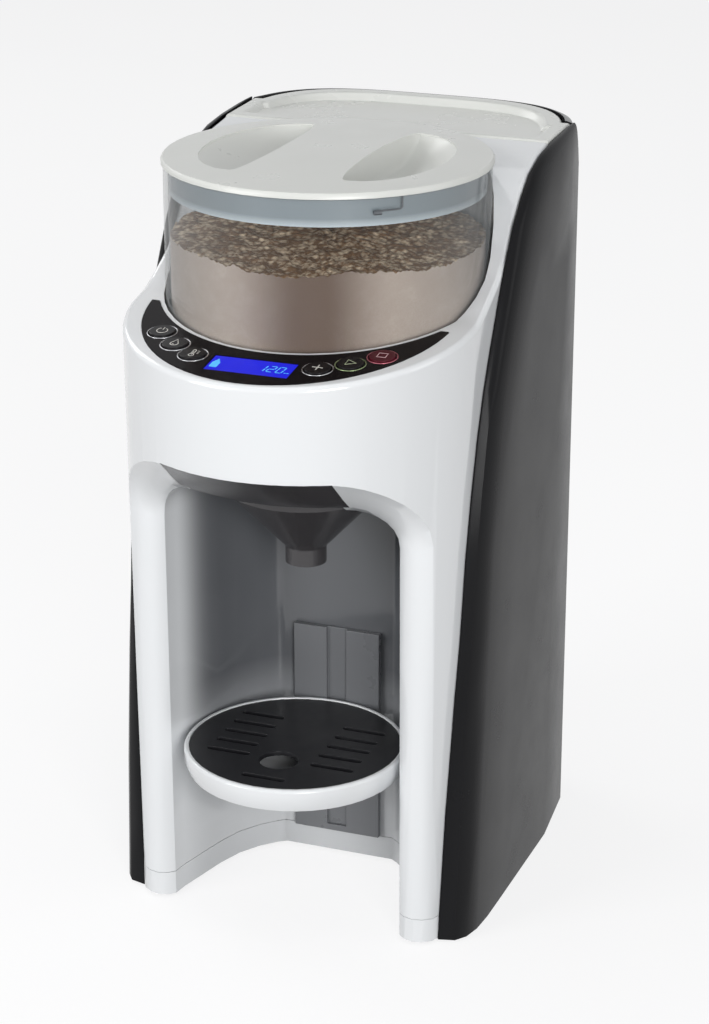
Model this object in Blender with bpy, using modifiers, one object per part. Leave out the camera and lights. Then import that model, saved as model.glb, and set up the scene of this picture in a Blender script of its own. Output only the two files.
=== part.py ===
"""Countertop baby formula maker, built as an assembly of separate pieces.

Metres, +Z up. The machine stands on z = 0, the front faces -Y, and the origin is the centre
of its footprint. Run with: blender --background --python part.py
"""

import math

import bmesh
import bpy
from mathutils import Matrix, Vector

# Whole machine
BODY_HALF_WIDTH = 0.0960
BODY_BACK = 0.1355
BODY_CORNER_START = 0.0400
BODY_CORNER_POWER = 3.5
DECK_HEIGHT = 0.3760
GAP = 0.0003
CUT_OVERRUN = 0.0080

# Front shell: a round front on an axis of its own, with a slight draft
FRONT_AXIS_Y = -0.0490
SHELL_FOOT_RADIUS = 0.0840
SHELL_DRAFT = 0.0032
SHELL_WALL = 0.0026
SHELL_TOP_WALL = 0.0050
SHELL_REAR = 0.0577
SHELL_EDGE_ROLL = 0.0026
SKIRT_HEIGHT = 0.0139
SKIRT_FLOOR = 0.0025
SKIRT_LIFT = 0.0015
PANEL_FRONT_Z = 0.2990
PANEL_SLOPE = 0.1450
SHOULDER_START = -0.0450
# Run and rise of the shoulder that climbs from the panel's plane to the deck
SHOULDER_SHARES = (
    (0.00, 0.00), (0.10, 0.07), (0.20, 0.15), (0.28, 0.22), (0.36, 0.33), (0.44, 0.50),
    (0.52, 0.67), (0.60, 0.80), (0.70, 0.90), (0.83, 0.965), (1.00, 1.00),
)

# Bottle bay: half width, top and setback behind the round front at each station of its
# rolled lip, from the front face inwards
BAY_LIP_HALF_WIDTH = 0.0785
BAY_LIP_TOP = 0.2530
BAY_HALF_WIDTH = 0.0610
BAY_CEILING = 0.2315
BAY_LIP_DEPTH = 0.0277
BAY_LIP_SHARES = ((-0.55, -0.40), (0.00, 0.00), (0.26, 0.24), (0.54, 0.49), (0.81, 0.76), (1.00, 1.00))
BAY_CORNER = 0.0220
BAY_SIDE_START = -0.0745
BAY_BACK = -0.0050
# Depth and width shares of the side walls, from the lip to the rear wall
BAY_SIDE_SHARES = (
    (0.06, 0.980), (0.25, 0.930), (0.49, 0.865), (0.69, 0.785), (0.85, 0.670), (0.96, 0.550),
)
BAY_BACK_WIDTH_SHARE = 0.484

# Side panels
PANEL_WALL = 0.0026
PANEL_EDGE = 0.0007
PANEL_LIFT = 0.0012
PANEL_REAR = 0.0970
PANEL_TOP = 0.3783
PANEL_ROLL = 0.0450
PANEL_ROLL_POWER = 3.0
SEAM_START = -0.0760
SEAM_END = 0.0885
# Run and height of the seam between the white shell and the side panel
SEAM_SHARES = (
    (0.000, 0.000), (0.024, 0.175), (0.042, 0.257), (0.061, 0.339), (0.085, 0.418),
    (0.109, 0.524), (0.139, 0.600), (0.182, 0.675), (0.230, 0.733), (0.280, 0.780),
    (0.345, 0.836), (0.406, 0.884), (0.461, 0.920), (0.533, 0.951), (0.606, 0.974),
    (0.703, 0.988), (0.800, 0.9945), (0.921, 0.9975), (1.000, 1.000),
)

# Hopper: clear container, lid, powder wheel and stirrer
HOPPER_AXIS_Y = -0.0180
CONTAINER_RADIUS = 0.0790
CONTAINER_WALL = 0.0022
CONTAINER_FLOOR = 0.0030
CONTAINER_TOP = 0.3768
WELL_CLEARANCE = 0.0008
WELL_FLOOR = 0.2820
WELL_FLOOR_WALL = 0.0026
LID_RADIUS = 0.0800
LID_EDGE = 0.0030
LID_DOME = 0.0022
LID_SKIRT_DEPTH = 0.0136
LID_SKIRT_WALL = 0.0018
LID_BAR_HALF = 0.0285
SCOOP_LENGTH = 0.1040
SCOOP_REACH = 0.0320
SCOOP_DEPTH = 0.0115
SCOOP_WALL = 0.0020
SCOOP_BOW = 0.0060
SCOOP_STEPS = 12
# Depth, reach, length and bow shares of the scoop's outlines, from above the lid downwards
SCOOP_SHARES = (
    (-0.50, 1.00, 1.00, 1.00), (0.00, 1.00, 1.00, 1.00), (0.30, 0.86, 0.94, 0.90),
    (0.62, 0.64, 0.82, 0.75), (0.88, 0.36, 0.62, 0.50), (1.00, 0.12, 0.40, 0.25),
)
LID_SEAT = 0.3774
LID_DOME_STEPS = 6
OUTLET_RADIUS = 0.0085
OUTLET_Y = -0.0490
WHEEL_HEIGHT = 0.0060
WHEEL_HUB = 0.0105
WHEEL_HUB_RISE = 0.0060
WHEEL_HUB_CAP = 0.0020
WHEEL_RIM = 0.0030
WHEEL_CLEARANCE = 0.0010
WHEEL_POCKETS = 12
WHEEL_POCKET_RADIUS = 0.0058
STIRRER_ARMS = 3
STIRRER_HEIGHT = 0.0440
STIRRER_REACH = 0.0700
STIRRER_BAR = 0.0030
STIRRER_HOOK = 0.0160

# Control panel
CONTROL_HALF_WIDTH = 0.0762
CONTROL_DEPTH = 0.0832
CONTROL_INNER_RADIUS = 0.0820
CONTROL_END = -0.0575
CONTROL_PROUD = 0.0004
CONTROL_RECESS = 0.0022
KEY_RADIUS = 0.0066
KEY_PROUD = 0.0009
KEY_THICKNESS = 0.0024
KEY_TRAVEL = 0.0008
KEY_CLEARANCE = 0.0003
KEY_STEM_RADIUS = 0.0020
KEY_ANGLES = (18.6, 27.6, 37.2)
KEY_DISTANCES = (0.0972, 0.0944, 0.0914)
DISPLAY_WIDTH = 0.0410
DISPLAY_DEPTH = 0.0150
DISPLAY_Y = -0.1150
BOARD_THICKNESS = 0.0016
BOARD_INSET = 0.0040
BOARD_END = 0.0200
BOARD_POST = 0.0014
BOARD_POST_ANGLE = 23.0
BOARD_POST_DISTANCE = 0.0965

# Powder drive below the hopper
SHAFT_RADIUS = 0.0040
COUPLING_RADIUS = 0.0075
GEAR_MODULE = 0.0015
WHEEL_GEAR_TEETH = 22
IDLER_TEETH = 18
PINION_TEETH = 10
GEAR_WIDTH = 0.0060
GEAR_BOTTOM = 0.2662
DECK_PLATE_BOTTOM = 0.2580
DECK_PLATE = 0.0025
MOTOR_RADIUS = 0.0150
MOTOR_LENGTH = 0.0420
MOTOR_SHAFT = 0.0015
MOTOR_BOSS = 0.0045
IDLER_PIN_RADIUS = 0.0025
GEAR_ADDENDUM_SHARE = 0.85
GEAR_DEDENDUM_SHARE = 1.15
PIN_STAND = 0.0010
HEX_RADIUS = 0.0060
SHAFT_TAIL = 0.0030
BEARING_RADIUS = 0.0080
BEARING_DROP = 0.0020
PLATE_HALF_WIDTH = 0.0250
PLATE_MARGIN = 0.0185
POST_OFFSET = 0.0140
POST_SETBACK = 0.0060
POST_SPREAD = 0.0212
POST_RADIUS = 0.0030
SCREW_RADIUS = 0.0028
SCREW_HEAD = 0.0018
COVER_CLEARANCE = 0.0006
COVER_WALL = 0.0014
COVER_PULL = 0.0080
CHUTE_WALL = 0.0014
CHUTE_FLANGE = 0.0018

# Funnel drawer
FUNNEL_AXIS_Y = -0.0490
FUNNEL_HALF_WIDTH = 0.0429
FUNNEL_TOP = 0.2526
FUNNEL_BACK = -0.0090
FUNNEL_WALL = 0.0020
FUNNEL_FRONT_DEPTH = 0.0210
FUNNEL_CONE_RADIUS = 0.0395
FUNNEL_CONE_TOP = 0.2225
SPOUT_RADIUS = 0.0102
SPOUT_TOP = 0.1915
SPOUT_BOTTOM = 0.1830

# Bottle tray
TRAY_AXIS_Y = -0.0650
TRAY_RADIUS = 0.0556
TRAY_TOP = 0.0912
TRAY_HEIGHT = 0.0142
TRAY_FOOT_RADIUS = 0.0440
TRAY_WALL = 0.0022
GRILLE_RADIUS = 0.0528
GRILLE_THICKNESS = 0.0022
GRILLE_SLOTS = 5
GRILLE_SLOT_PITCH = 0.0112
GRILLE_SLOT_WIDTH = 0.0036
GRILLE_SLOT_LENGTH = 0.0230
GRILLE_SLOT_OFFSET = 0.0275
GRILLE_FIRST_ROW = -0.0202
GRILLE_FRONT_SLOT = -0.0418
TRAY_RIM_RISE = 0.0005
FINGER_HOLE_OFFSET = -0.0215
BRACKET_START = 0.0200
BRACKET_TIP = 0.0030
BRACKET_HEIGHT = 0.0110
BRACKET_HALF = 0.0110
TONGUE_HALF = 0.0050
TRACK_BACKING = 0.0012
FINGER_HOLE_RADIUS = 0.0098
TRACK_HALF_WIDTH = 0.0234
TRACK_DEPTH = 0.0034
TRACK_BOTTOM = 0.0145
TRACK_TOP = 0.1300

# Water side
TANK_FRONT = 0.0580
TANK_BOTTOM = 0.0243
TANK_WALL = 0.0026
TANK_TOP = 0.3722
TANK_ROLL = 0.0300
TANK_ROLL_STEPS = 6
REAR_STEPS = 18
TANK_FLOOR = 0.0035
TANK_INNER_FRONT = 0.0655
DECK_RIM_TOP = 0.3795
LIP_DROP = 0.0007
TANK_LIP = 0.0012
TANK_LEDGE = 0.0030
LID_BACK_MARGIN = 0.0006
LID_SIDE_MARGIN = 0.0075
DECK_RIM_START = 0.0010
LID_RIM_ROLL = 0.0016
LID_RIM_WIDTH = 0.0085
LID_RECESS_DEPTH = 0.0046
LID_PLATE = 0.0026
VALVE_Y = 0.0760
VALVE_RADIUS = 0.0100
VALVE_STEM = 0.0050
VALVE_HEAD = 0.0025
SOCKET_FLOOR = 0.0140
SOCKET_WALL = 0.0015
SPRING_WIRE = 0.0004
SPRING_HEIGHT = 0.0090
SPRING_TURNS = 5
CAGE_WALL = 0.0012
CAGE_SLOT = 0.0050
SUPPLY_Z = 0.0088
PUMP_RADIUS = 0.0170
PUMP_LENGTH = 0.0420
HEATER_RADIUS = 0.0200
HEATER_LENGTH = 0.0900
HOSE_RADIUS = 0.0035
HOSE_BEND = 0.0068
HOSE_RUN_Z = 0.2680
PUMP_X = -0.0420
HEATER_X = 0.0420
WATER_Y = 0.0270
PUMP_HOSE_TOP = 0.0660
PUMP_HOSE_X = 0.0050
HEATER_INLET_Z = 0.0220
NOZZLE_X = 0.0300
NOZZLE_RADIUS = 0.0040
NOZZLE_TIP = 0.0020
BULKHEAD_WALL = 0.0022
POWER_BOARD_LOW = 0.1020
POWER_BOARD_HIGH = 0.1520
POWER_BOARD_HALF = 0.0360
MAIN_BOARD_LOW = 0.1600
MAIN_BOARD_HIGH = 0.2060
MAIN_BOARD_HALF = 0.0420
BOARD_PART_DEPTH = 0.0090
# Place shares, size share and depth share of the larger parts on a circuit board
BOARD_PART_SHARES = ((-0.55, 0.5, 0.22, 1.0), (0.05, 0.35, 0.14, 0.6), (0.60, 0.6, 0.26, 0.4))
FOOT_RADIUS = 0.0075
FOOT_FRONT_X = 0.0705
FOOT_FRONT_Y = -0.0620
FOOT_REAR_X = 0.0600
FOOT_REAR_Y = 0.1000
INLET_HALF = 0.0090
INLET_DEPTH = 0.0140
INLET_LOW = 0.0060
INLET_HIGH = 0.0180
INLET_WALL = 0.0015
INLET_LIP = 0.0006
INLET_PIN = 0.0012
INLET_PIN_REACH = 0.0090
INLET_PIN_SPREAD = 0.0035

# Facets
ARC_STEPS = 20
ROUND_STEPS = 48
SMALL_STEPS = 20

# Finishes: colour, roughness, metallic
FINISHES = {
    "white_shell": ((0.86, 0.87, 0.88), 0.12, 0.0),
    "white_satin": ((0.72, 0.73, 0.69), 0.35, 0.0),
    "dark_panel": ((0.070, 0.070, 0.073), 0.30, 0.0),
    "black_gloss": ((0.008, 0.007, 0.008), 0.08, 0.0),
    "smoke": ((0.050, 0.048, 0.050), 0.15, 0.0),
    "clear": ((0.80, 0.83, 0.84), 0.05, 0.0),
    "grille_black": ((0.012, 0.012, 0.014), 0.40, 0.0),
    "display_blue": ((0.010, 0.020, 0.850), 0.20, 0.0),
    "key_red": ((0.120, 0.008, 0.018), 0.20, 0.0),
    "board_green": ((0.020, 0.160, 0.060), 0.50, 0.0),
    "rubber": ((0.020, 0.020, 0.020), 0.80, 0.0),
    "steel": ((0.600, 0.600, 0.620), 0.30, 1.0),
    "acetal": ((0.800, 0.780, 0.700), 0.45, 0.0),
    "motor_can": ((0.450, 0.450, 0.460), 0.35, 1.0),
    "silicone": ((0.700, 0.700, 0.690), 0.55, 0.0),
}

part_collection = None
cutter_collection = None


def clear_scene():
    for obj in list(bpy.data.objects):
        bpy.data.objects.remove(obj, do_unlink=True)


def make_collections():
    global part_collection, cutter_collection
    part_collection = bpy.data.collections.new("formula_maker")
    cutter_collection = bpy.data.collections.new("cutters")
    bpy.context.scene.collection.children.link(part_collection)
    bpy.context.scene.collection.children.link(cutter_collection)


def finish_material(finish):
    if finish in bpy.data.materials:
        return bpy.data.materials[finish]
    colour, roughness, metallic = FINISHES[finish]
    material = bpy.data.materials.new(finish)
    material.use_nodes = True
    shader = material.node_tree.nodes["Principled BSDF"]
    shader.inputs["Base Color"].default_value = (*colour, 1.0)
    shader.inputs["Roughness"].default_value = roughness
    shader.inputs["Metallic"].default_value = metallic
    material.diffuse_color = (*colour, 1.0)
    return material


def new_object(name, mesh):
    obj = bpy.data.objects.new(name, mesh)
    part_collection.objects.link(obj)
    return obj


def dress(obj, finish):
    """Gives a finished piece its material and smooth round faces."""
    obj.data.materials.clear()
    obj.data.materials.append(finish_material(finish))
    obj.data.shade_smooth()
    obj.data.set_sharp_from_angle(angle=math.radians(30.0))
    return obj


def as_cutter(obj):
    """Hides a tool body that only shapes other pieces."""
    part_collection.objects.unlink(obj)
    cutter_collection.objects.link(obj)
    obj.hide_render = True
    obj.display_type = "WIRE"
    return obj


def boolean(target, tool, operation):
    if tool.name not in cutter_collection.objects:
        as_cutter(tool)
    modifier = target.modifiers.new(operation.lower() + "_" + tool.name, "BOOLEAN")
    modifier.operation = operation
    modifier.solver = "EXACT"
    modifier.object = tool
    return target


def cut(target, *tools):
    for tool in tools:
        boolean(target, tool, "DIFFERENCE")
    return target


def fuse(target, *tools):
    for tool in tools:
        boolean(target, tool, "UNION")
    return target


def keep_common(target, tool):
    return boolean(target, tool, "INTERSECT")


def mesh_from(name, vertices, faces):
    mesh = bpy.data.meshes.new(name)
    mesh.from_pydata([tuple(v) for v in vertices], [], faces)
    mesh.update()
    return new_object(name, mesh)


def loft(name, rings, cap_strips=False):
    """Closed body through rings of equal length, listed so that the sides face out."""
    count = len(rings[0])
    vertices = [point for ring in rings for point in ring]
    faces = []
    for low in range(len(rings) - 1):
        for i in range(count):
            j = (i + 1) % count
            a, b = low * count + i, low * count + j
            faces.append((a, b, b + count, a + count))
    last = (len(rings) - 1) * count
    faces.append(tuple(reversed(range(count))))
    if cap_strips:
        for i in range(count // 2 - (1 - count % 2)):
            j = count - 1 - i
            if j - 1 > i + 1:
                faces.append((last + i, last + i + 1, last + j - 1, last + j))
            elif j - 1 == i + 1:
                faces.append((last + i, last + i + 1, last + j))
    else:
        faces.append(tuple(last + i for i in range(count)))
    return mesh_from(name, vertices, faces)


def primitive(name, build, matrix):
    mesh = bpy.data.meshes.new(name)
    shape = bmesh.new()
    build(shape)
    bmesh.ops.transform(shape, matrix=matrix, verts=shape.verts)
    shape.to_mesh(mesh)
    shape.free()
    return new_object(name, mesh)


def block(name, low, high):
    low, high = Vector(low), Vector(high)
    size = Matrix.Diagonal((*(high - low), 1.0))
    place = Matrix.Translation((low + high) / 2)
    return primitive(name, lambda shape: bmesh.ops.create_cube(shape, size=1.0), place @ size)


def cylinder(name, radius, bottom, top, x=0.0, y=0.0, steps=SMALL_STEPS, top_radius=None):
    def build(shape):
        bmesh.ops.create_cone(
            shape, cap_ends=True, segments=steps, radius1=radius,
            radius2=radius if top_radius is None else top_radius, depth=top - bottom,
        )

    return primitive(name, build, Matrix.Translation((x, y, (bottom + top) / 2)))


def turned(name, profile, y=0.0, x=0.0, steps=ROUND_STEPS, closed=False):
    """Turns a profile of (radius, height) points, run down its outer side, round a vertical axis."""
    mesh = bpy.data.meshes.new(name)
    edges = [(i, i + 1) for i in range(len(profile) - 1)]
    if closed:
        edges.append((len(profile) - 1, 0))
    mesh.from_pydata([(radius, 0.0, height) for radius, height in profile], edges, [])
    obj = new_object(name, mesh)
    obj.location = (x, y, 0.0)
    screw = obj.modifiers.new("turn", "SCREW")
    screw.axis = "Z"
    screw.steps = steps
    screw.render_steps = steps
    screw.use_merge_vertices = True
    screw.merge_threshold = 1e-6
    screw.use_smooth_shade = False
    return baked(obj)


def baked(obj):
    """Replaces an object's mesh by its evaluated one, placed in the world."""
    graph = bpy.context.evaluated_depsgraph_get()
    mesh = bpy.data.meshes.new_from_object(obj.evaluated_get(graph))
    mesh.transform(obj.matrix_world if obj.type == "MESH" and obj.parent else world_matrix(obj))
    shape = bmesh.new()
    shape.from_mesh(mesh)
    bmesh.ops.remove_doubles(shape, verts=shape.verts, dist=1e-6)
    shape.to_mesh(mesh)
    shape.free()
    name = obj.name
    bpy.data.objects.remove(obj, do_unlink=True)
    solid = new_object(name, mesh)
    solid.name = name
    return solid


def world_matrix(obj):
    return Matrix.LocRotScale(obj.location, obj.rotation_euler, obj.scale)


def outline_curve(name, points, thickness):
    curve = bpy.data.curves.new(name, "CURVE")
    curve.dimensions = "2D"
    curve.fill_mode = "BOTH"
    curve.extrude = thickness / 2
    spline = curve.splines.new("POLY")
    spline.points.add(len(points) - 1)
    for point, place in zip(spline.points, points):
        point.co = (place[0], place[1], 0.0, 1.0)
    spline.use_cyclic_u = True
    obj = bpy.data.objects.new(name, curve)
    part_collection.objects.link(obj)
    return obj


def extruded(name, points, bottom, top):
    """Upright prism on a plan outline."""
    obj = outline_curve(name, points, top - bottom)
    obj.location = (0.0, 0.0, (bottom + top) / 2)
    return baked(obj)


def extruded_across(name, points, left, right):
    """Prism along X on a side outline of (y, z) points."""
    obj = outline_curve(name, points, right - left)
    obj.location = ((left + right) / 2, 0.0, 0.0)
    obj.rotation_euler = (math.pi / 2, 0.0, math.pi / 2)
    return baked(obj)


def tube(name, points, radius, sides=2):
    curve = bpy.data.curves.new(name, "CURVE")
    curve.dimensions = "3D"
    curve.bevel_depth = radius
    curve.bevel_resolution = sides
    curve.use_fill_caps = True
    spline = curve.splines.new("POLY")
    spline.points.add(len(points) - 1)
    for point, place in zip(spline.points, points):
        point.co = (*place, 1.0)
    obj = bpy.data.objects.new(name, curve)
    part_collection.objects.link(obj)
    return baked(obj)


def rounded_route(points, radius, steps=5):
    """Runs straight between the points and turns each corner on a round bend."""
    route = [Vector(points[0])]
    for before, corner, after in zip(points, points[1:], points[2:]):
        corner = Vector(corner)
        into = (Vector(before) - corner).normalized()
        out = (Vector(after) - corner).normalized()
        start, end = corner + into * radius, corner + out * radius
        for step in range(steps + 1):
            t = step / steps
            route.append(start.lerp(corner, t).lerp(corner.lerp(end, t), t))
    route.append(Vector(points[-1]))
    return route


def shares(table, along, across):
    return [(along * a, across * b) for a, b in table]


def interpolate(table, value):
    """Reads a table of (key, value) pairs, with straight runs between them."""
    if value <= table[0][0]:
        return table[0][1]
    for (x0, y0), (x1, y1) in zip(table, table[1:]):
        if value <= x1:
            return y0 + (y1 - y0) * (value - x0) / (x1 - x0)
    return table[-1][1]


def shell_radius(z):
    return SHELL_FOOT_RADIUS + SHELL_DRAFT * z / DECK_HEIGHT


def panel_plane(y):
    """Height of the sloping plane that the control panel lies in."""
    return PANEL_FRONT_Z + PANEL_SLOPE * (y - FRONT_AXIS_Y + shell_radius(PANEL_FRONT_Z))


def shoulder_table():
    low = panel_plane(SHOULDER_START)
    pairs = shares(SHOULDER_SHARES, SHELL_REAR - SHOULDER_START, DECK_HEIGHT - low)
    return [(SHOULDER_START + run, low + rise) for run, rise in pairs]


def top_height(y):
    """Height of the shell's top face: the panel's plane, then the shoulder, then the deck."""
    if y <= SHOULDER_START:
        return panel_plane(y)
    return interpolate(shoulder_table(), y)


def shell_side_x(y, z, inset=0.0):
    """Half width of the front shell at a depth and height."""
    radius = shell_radius(z) - inset
    if y >= FRONT_AXIS_Y:
        return radius
    return math.sqrt(max(radius ** 2 - (y - FRONT_AXIS_Y) ** 2, 0.0))


def shell_outline(z, inset, rear):
    """Plan of the front shell: the left side forward, round the front, the right side back."""
    radius = shell_radius(z) - inset
    side = [y for y, _ in shoulder_table() if y < rear] + [rear]
    left = [(-radius, y) for y in reversed(side)]
    arc = []
    for step in range(2 * ARC_STEPS + 1):
        angle = math.pi * step / (2 * ARC_STEPS)
        arc.append((-radius * math.cos(angle), FRONT_AXIS_Y - radius * math.sin(angle)))
    right = [(-x, y) for x, y in reversed(left)]
    return left + arc + right


def shell_solid(name, inset, top_inset, bottom, rear, roll=0.0):
    """The front shell's full volume, drawn in by an inset, with its top edge rolled."""
    rings = []
    for z in (bottom, PANEL_FRONT_Z - CUT_OVERRUN * 2):
        rings.append([(x, y, z) for x, y in shell_outline(z, inset, rear)])
    steps = 3 if roll else 0
    for step in range(steps + 1):
        angle = math.pi / 2 * step / steps if steps else 0.0
        inward = roll * (1 - math.cos(angle))
        down = roll * (1 - math.sin(angle)) if steps else 0.0
        ring = []
        for x, y in shell_outline(PANEL_FRONT_Z, inset + inward, rear):
            widen = shell_radius(top_height(y)) / shell_radius(PANEL_FRONT_Z)
            ring.append((x * widen, y, top_height(y) - top_inset - down))
        rings.append(ring)
    return loft(name, rings, cap_strips=True)


def arch(half_width, top, corner, foot, front):
    """Arch-shaped ring, open side down; front gives the depth of each point."""
    points = [(-half_width, foot)]
    straight = (top - corner - foot) / 3
    points += [(-half_width, foot + straight * step) for step in (1, 2)]
    turn = 7
    for step in range(turn + 1):
        angle = math.pi / 2 * step / turn
        points.append((
            -half_width + corner * (1 - math.cos(angle)),
            top - corner + corner * math.sin(angle),
        ))
    crown = 5
    inner = half_width - corner
    points += [(-inner + inner * step / crown, top) for step in range(1, crown)]
    points.append((0.0, top))
    points += [(-x, z) for x, z in reversed(points[:-1])]
    return [(x, front(x, z), z) for x, z in points]


def lip_front(setback):
    def depth(x, z):
        radius = shell_radius(z)
        reach = math.sqrt(max(radius ** 2 - x ** 2, (radius / 3) ** 2))
        return FRONT_AXIS_Y - reach + setback

    return depth


def level_front(y):
    return lambda x, z: y


def bay_solid(name, grow=0.0):
    """The bottle bay: a rolled lip behind the round front, then walls that draw in to the back."""
    rings = []
    foot = -CUT_OVERRUN - grow
    open_front = FRONT_AXIS_Y - 2 * SHELL_FOOT_RADIUS
    for width_share, depth_share in (BAY_LIP_SHARES[0],) + BAY_LIP_SHARES:
        half = BAY_LIP_HALF_WIDTH + (BAY_HALF_WIDTH - BAY_LIP_HALF_WIDTH) * width_share + grow
        top = BAY_LIP_TOP + (BAY_CEILING - BAY_LIP_TOP) * width_share + grow
        corner = BAY_CORNER + half - BAY_HALF_WIDTH
        front = lip_front(BAY_LIP_DEPTH * depth_share + grow)
        if not rings:
            front = level_front(open_front)
        rings.append(arch(half, top, corner, foot, front))
    top = BAY_CEILING + grow
    depth = BAY_BACK - BAY_SIDE_START
    for run, width in BAY_SIDE_SHARES + ((1.0, BAY_BACK_WIDTH_SHARE),):
        half = BAY_HALF_WIDTH * width + grow
        y = BAY_SIDE_START + depth * run + grow
        rings.append(arch(half, top, BAY_CORNER + grow, foot, level_front(y)))
    return loft(name, rings)


def body_half_width(y):
    """Half width of the dark outer body, which rounds off towards the back."""
    if y <= BODY_CORNER_START:
        return BODY_HALF_WIDTH
    share = min((y - BODY_CORNER_START) / (BODY_BACK - BODY_CORNER_START), 1.0)
    return BODY_HALF_WIDTH * (1 - share ** BODY_CORNER_POWER) ** (1 / BODY_CORNER_POWER)


def roll_share(distance, reach, power=PANEL_ROLL_POWER):
    """Share of the full thickness at a distance from a rolled edge."""
    share = min(max(distance / reach, 0.0), 1.0)
    return (1 - (1 - share) ** power) ** (1 / power)


def seam_points():
    pairs = shares(SEAM_SHARES, SEAM_END - SEAM_START, PANEL_TOP - PANEL_LIFT)
    return [Vector((SEAM_START + run, PANEL_LIFT + rise)) for run, rise in pairs]


def distance_to_seam(y, z):
    line = seam_points() + [Vector((PANEL_REAR + CUT_OVERRUN, PANEL_TOP))]
    place = Vector((y, z))
    best = BODY_BACK
    for start, end in zip(line, line[1:]):
        run = end - start
        t = min(max((place - start).dot(run) / run.length_squared, 0.0), 1.0)
        best = min(best, (start + run * t - place).length)
    return best


def side_panel(name, side):
    """Dark side panel: a moulded skin whose front and top edges roll in to the white shell."""
    seam = seam_points()
    heights = [seam[0].y, seam[1].y / 2] + [point.y for point in seam[1:-1]]
    depth_shares = (0.0, 0.012, 0.045, 0.10, 0.18, 0.30, 0.48, 0.74, 1.0)
    crossing = [(point.y, point.x) for point in seam]
    rings = []
    for z in heights + [PANEL_TOP]:
        front = interpolate(crossing, z)
        skin = []
        back = []
        for share in depth_shares:
            y = front + (PANEL_REAR - front) * share
            against = shell_side_x(y, z) + 2 * GAP
            room = body_half_width(y) - against
            x = against + max(room * roll_share(distance_to_seam(y, z), PANEL_ROLL), PANEL_EDGE)
            skin.append((side * x, y, z))
            back.append((side * max(against, x - PANEL_WALL), y, z))
        ring = skin + back[::-1]
        rings.append(ring if side > 0 else ring[::-1])
    return dress(loft(name, rings), "dark_panel")


def crescent(inset, end_inset=0.0):
    """Plan outline of the control panel: a half ellipse in front, the well's circle behind."""
    end = CONTROL_END - end_inset
    half = CONTROL_HALF_WIDTH - inset
    depth = CONTROL_DEPTH - inset
    inner = CONTROL_INNER_RADIUS + inset
    start = math.asin(min((FRONT_AXIS_Y - end) / depth, 1.0))
    outer_points = []
    steps = 2 * ARC_STEPS
    for step in range(steps + 1):
        angle = start + (math.pi - 2 * start) * step / steps
        outer_points.append((-half * math.cos(angle), FRONT_AXIS_Y - depth * math.sin(angle)))
    edge = math.asin((HOPPER_AXIS_Y - end) / inner)
    inner_points = []
    for step in range(steps + 1):
        angle = edge + (math.pi - 2 * edge) * step / steps
        inner_points.append((inner * math.cos(angle), HOPPER_AXIS_Y - inner * math.sin(angle)))
    return outer_points + inner_points


def sloped_plate(name, outline, low, high):
    """Plate whose faces lie above and below the control panel's plane."""
    rings = []
    for offset in (low, high):
        rings.append([(x, y, panel_plane(y) + offset) for x, y in outline])
    return loft(name, rings)


def key_places():
    places = []
    for side in (-1, 1):
        order = list(zip(KEY_ANGLES, KEY_DISTANCES))
        for angle, distance in order:
            turn = math.radians(angle)
            x = side * distance * math.sin(turn)
            places.append((x, HOPPER_AXIS_Y - distance * math.cos(turn)))
    left = [places[2], places[1], places[0]]
    return left + places[3:]


KEY_NAMES = ("key_power", "key_water", "key_temperature", "key_amount", "key_start", "key_stop")


def tilt():
    return Matrix.Rotation(math.atan(PANEL_SLOPE), 4, "X")


def on_panel(name, radius, low, high, x, y, steps=SMALL_STEPS, top_radius=None):
    """Cylinder that stands square on the control panel's plane."""
    obj = cylinder(name, radius, low, high, steps=steps, top_radius=top_radius)
    obj.data.transform(Matrix.Translation((x, y, panel_plane(y))) @ tilt())
    return obj


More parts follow.
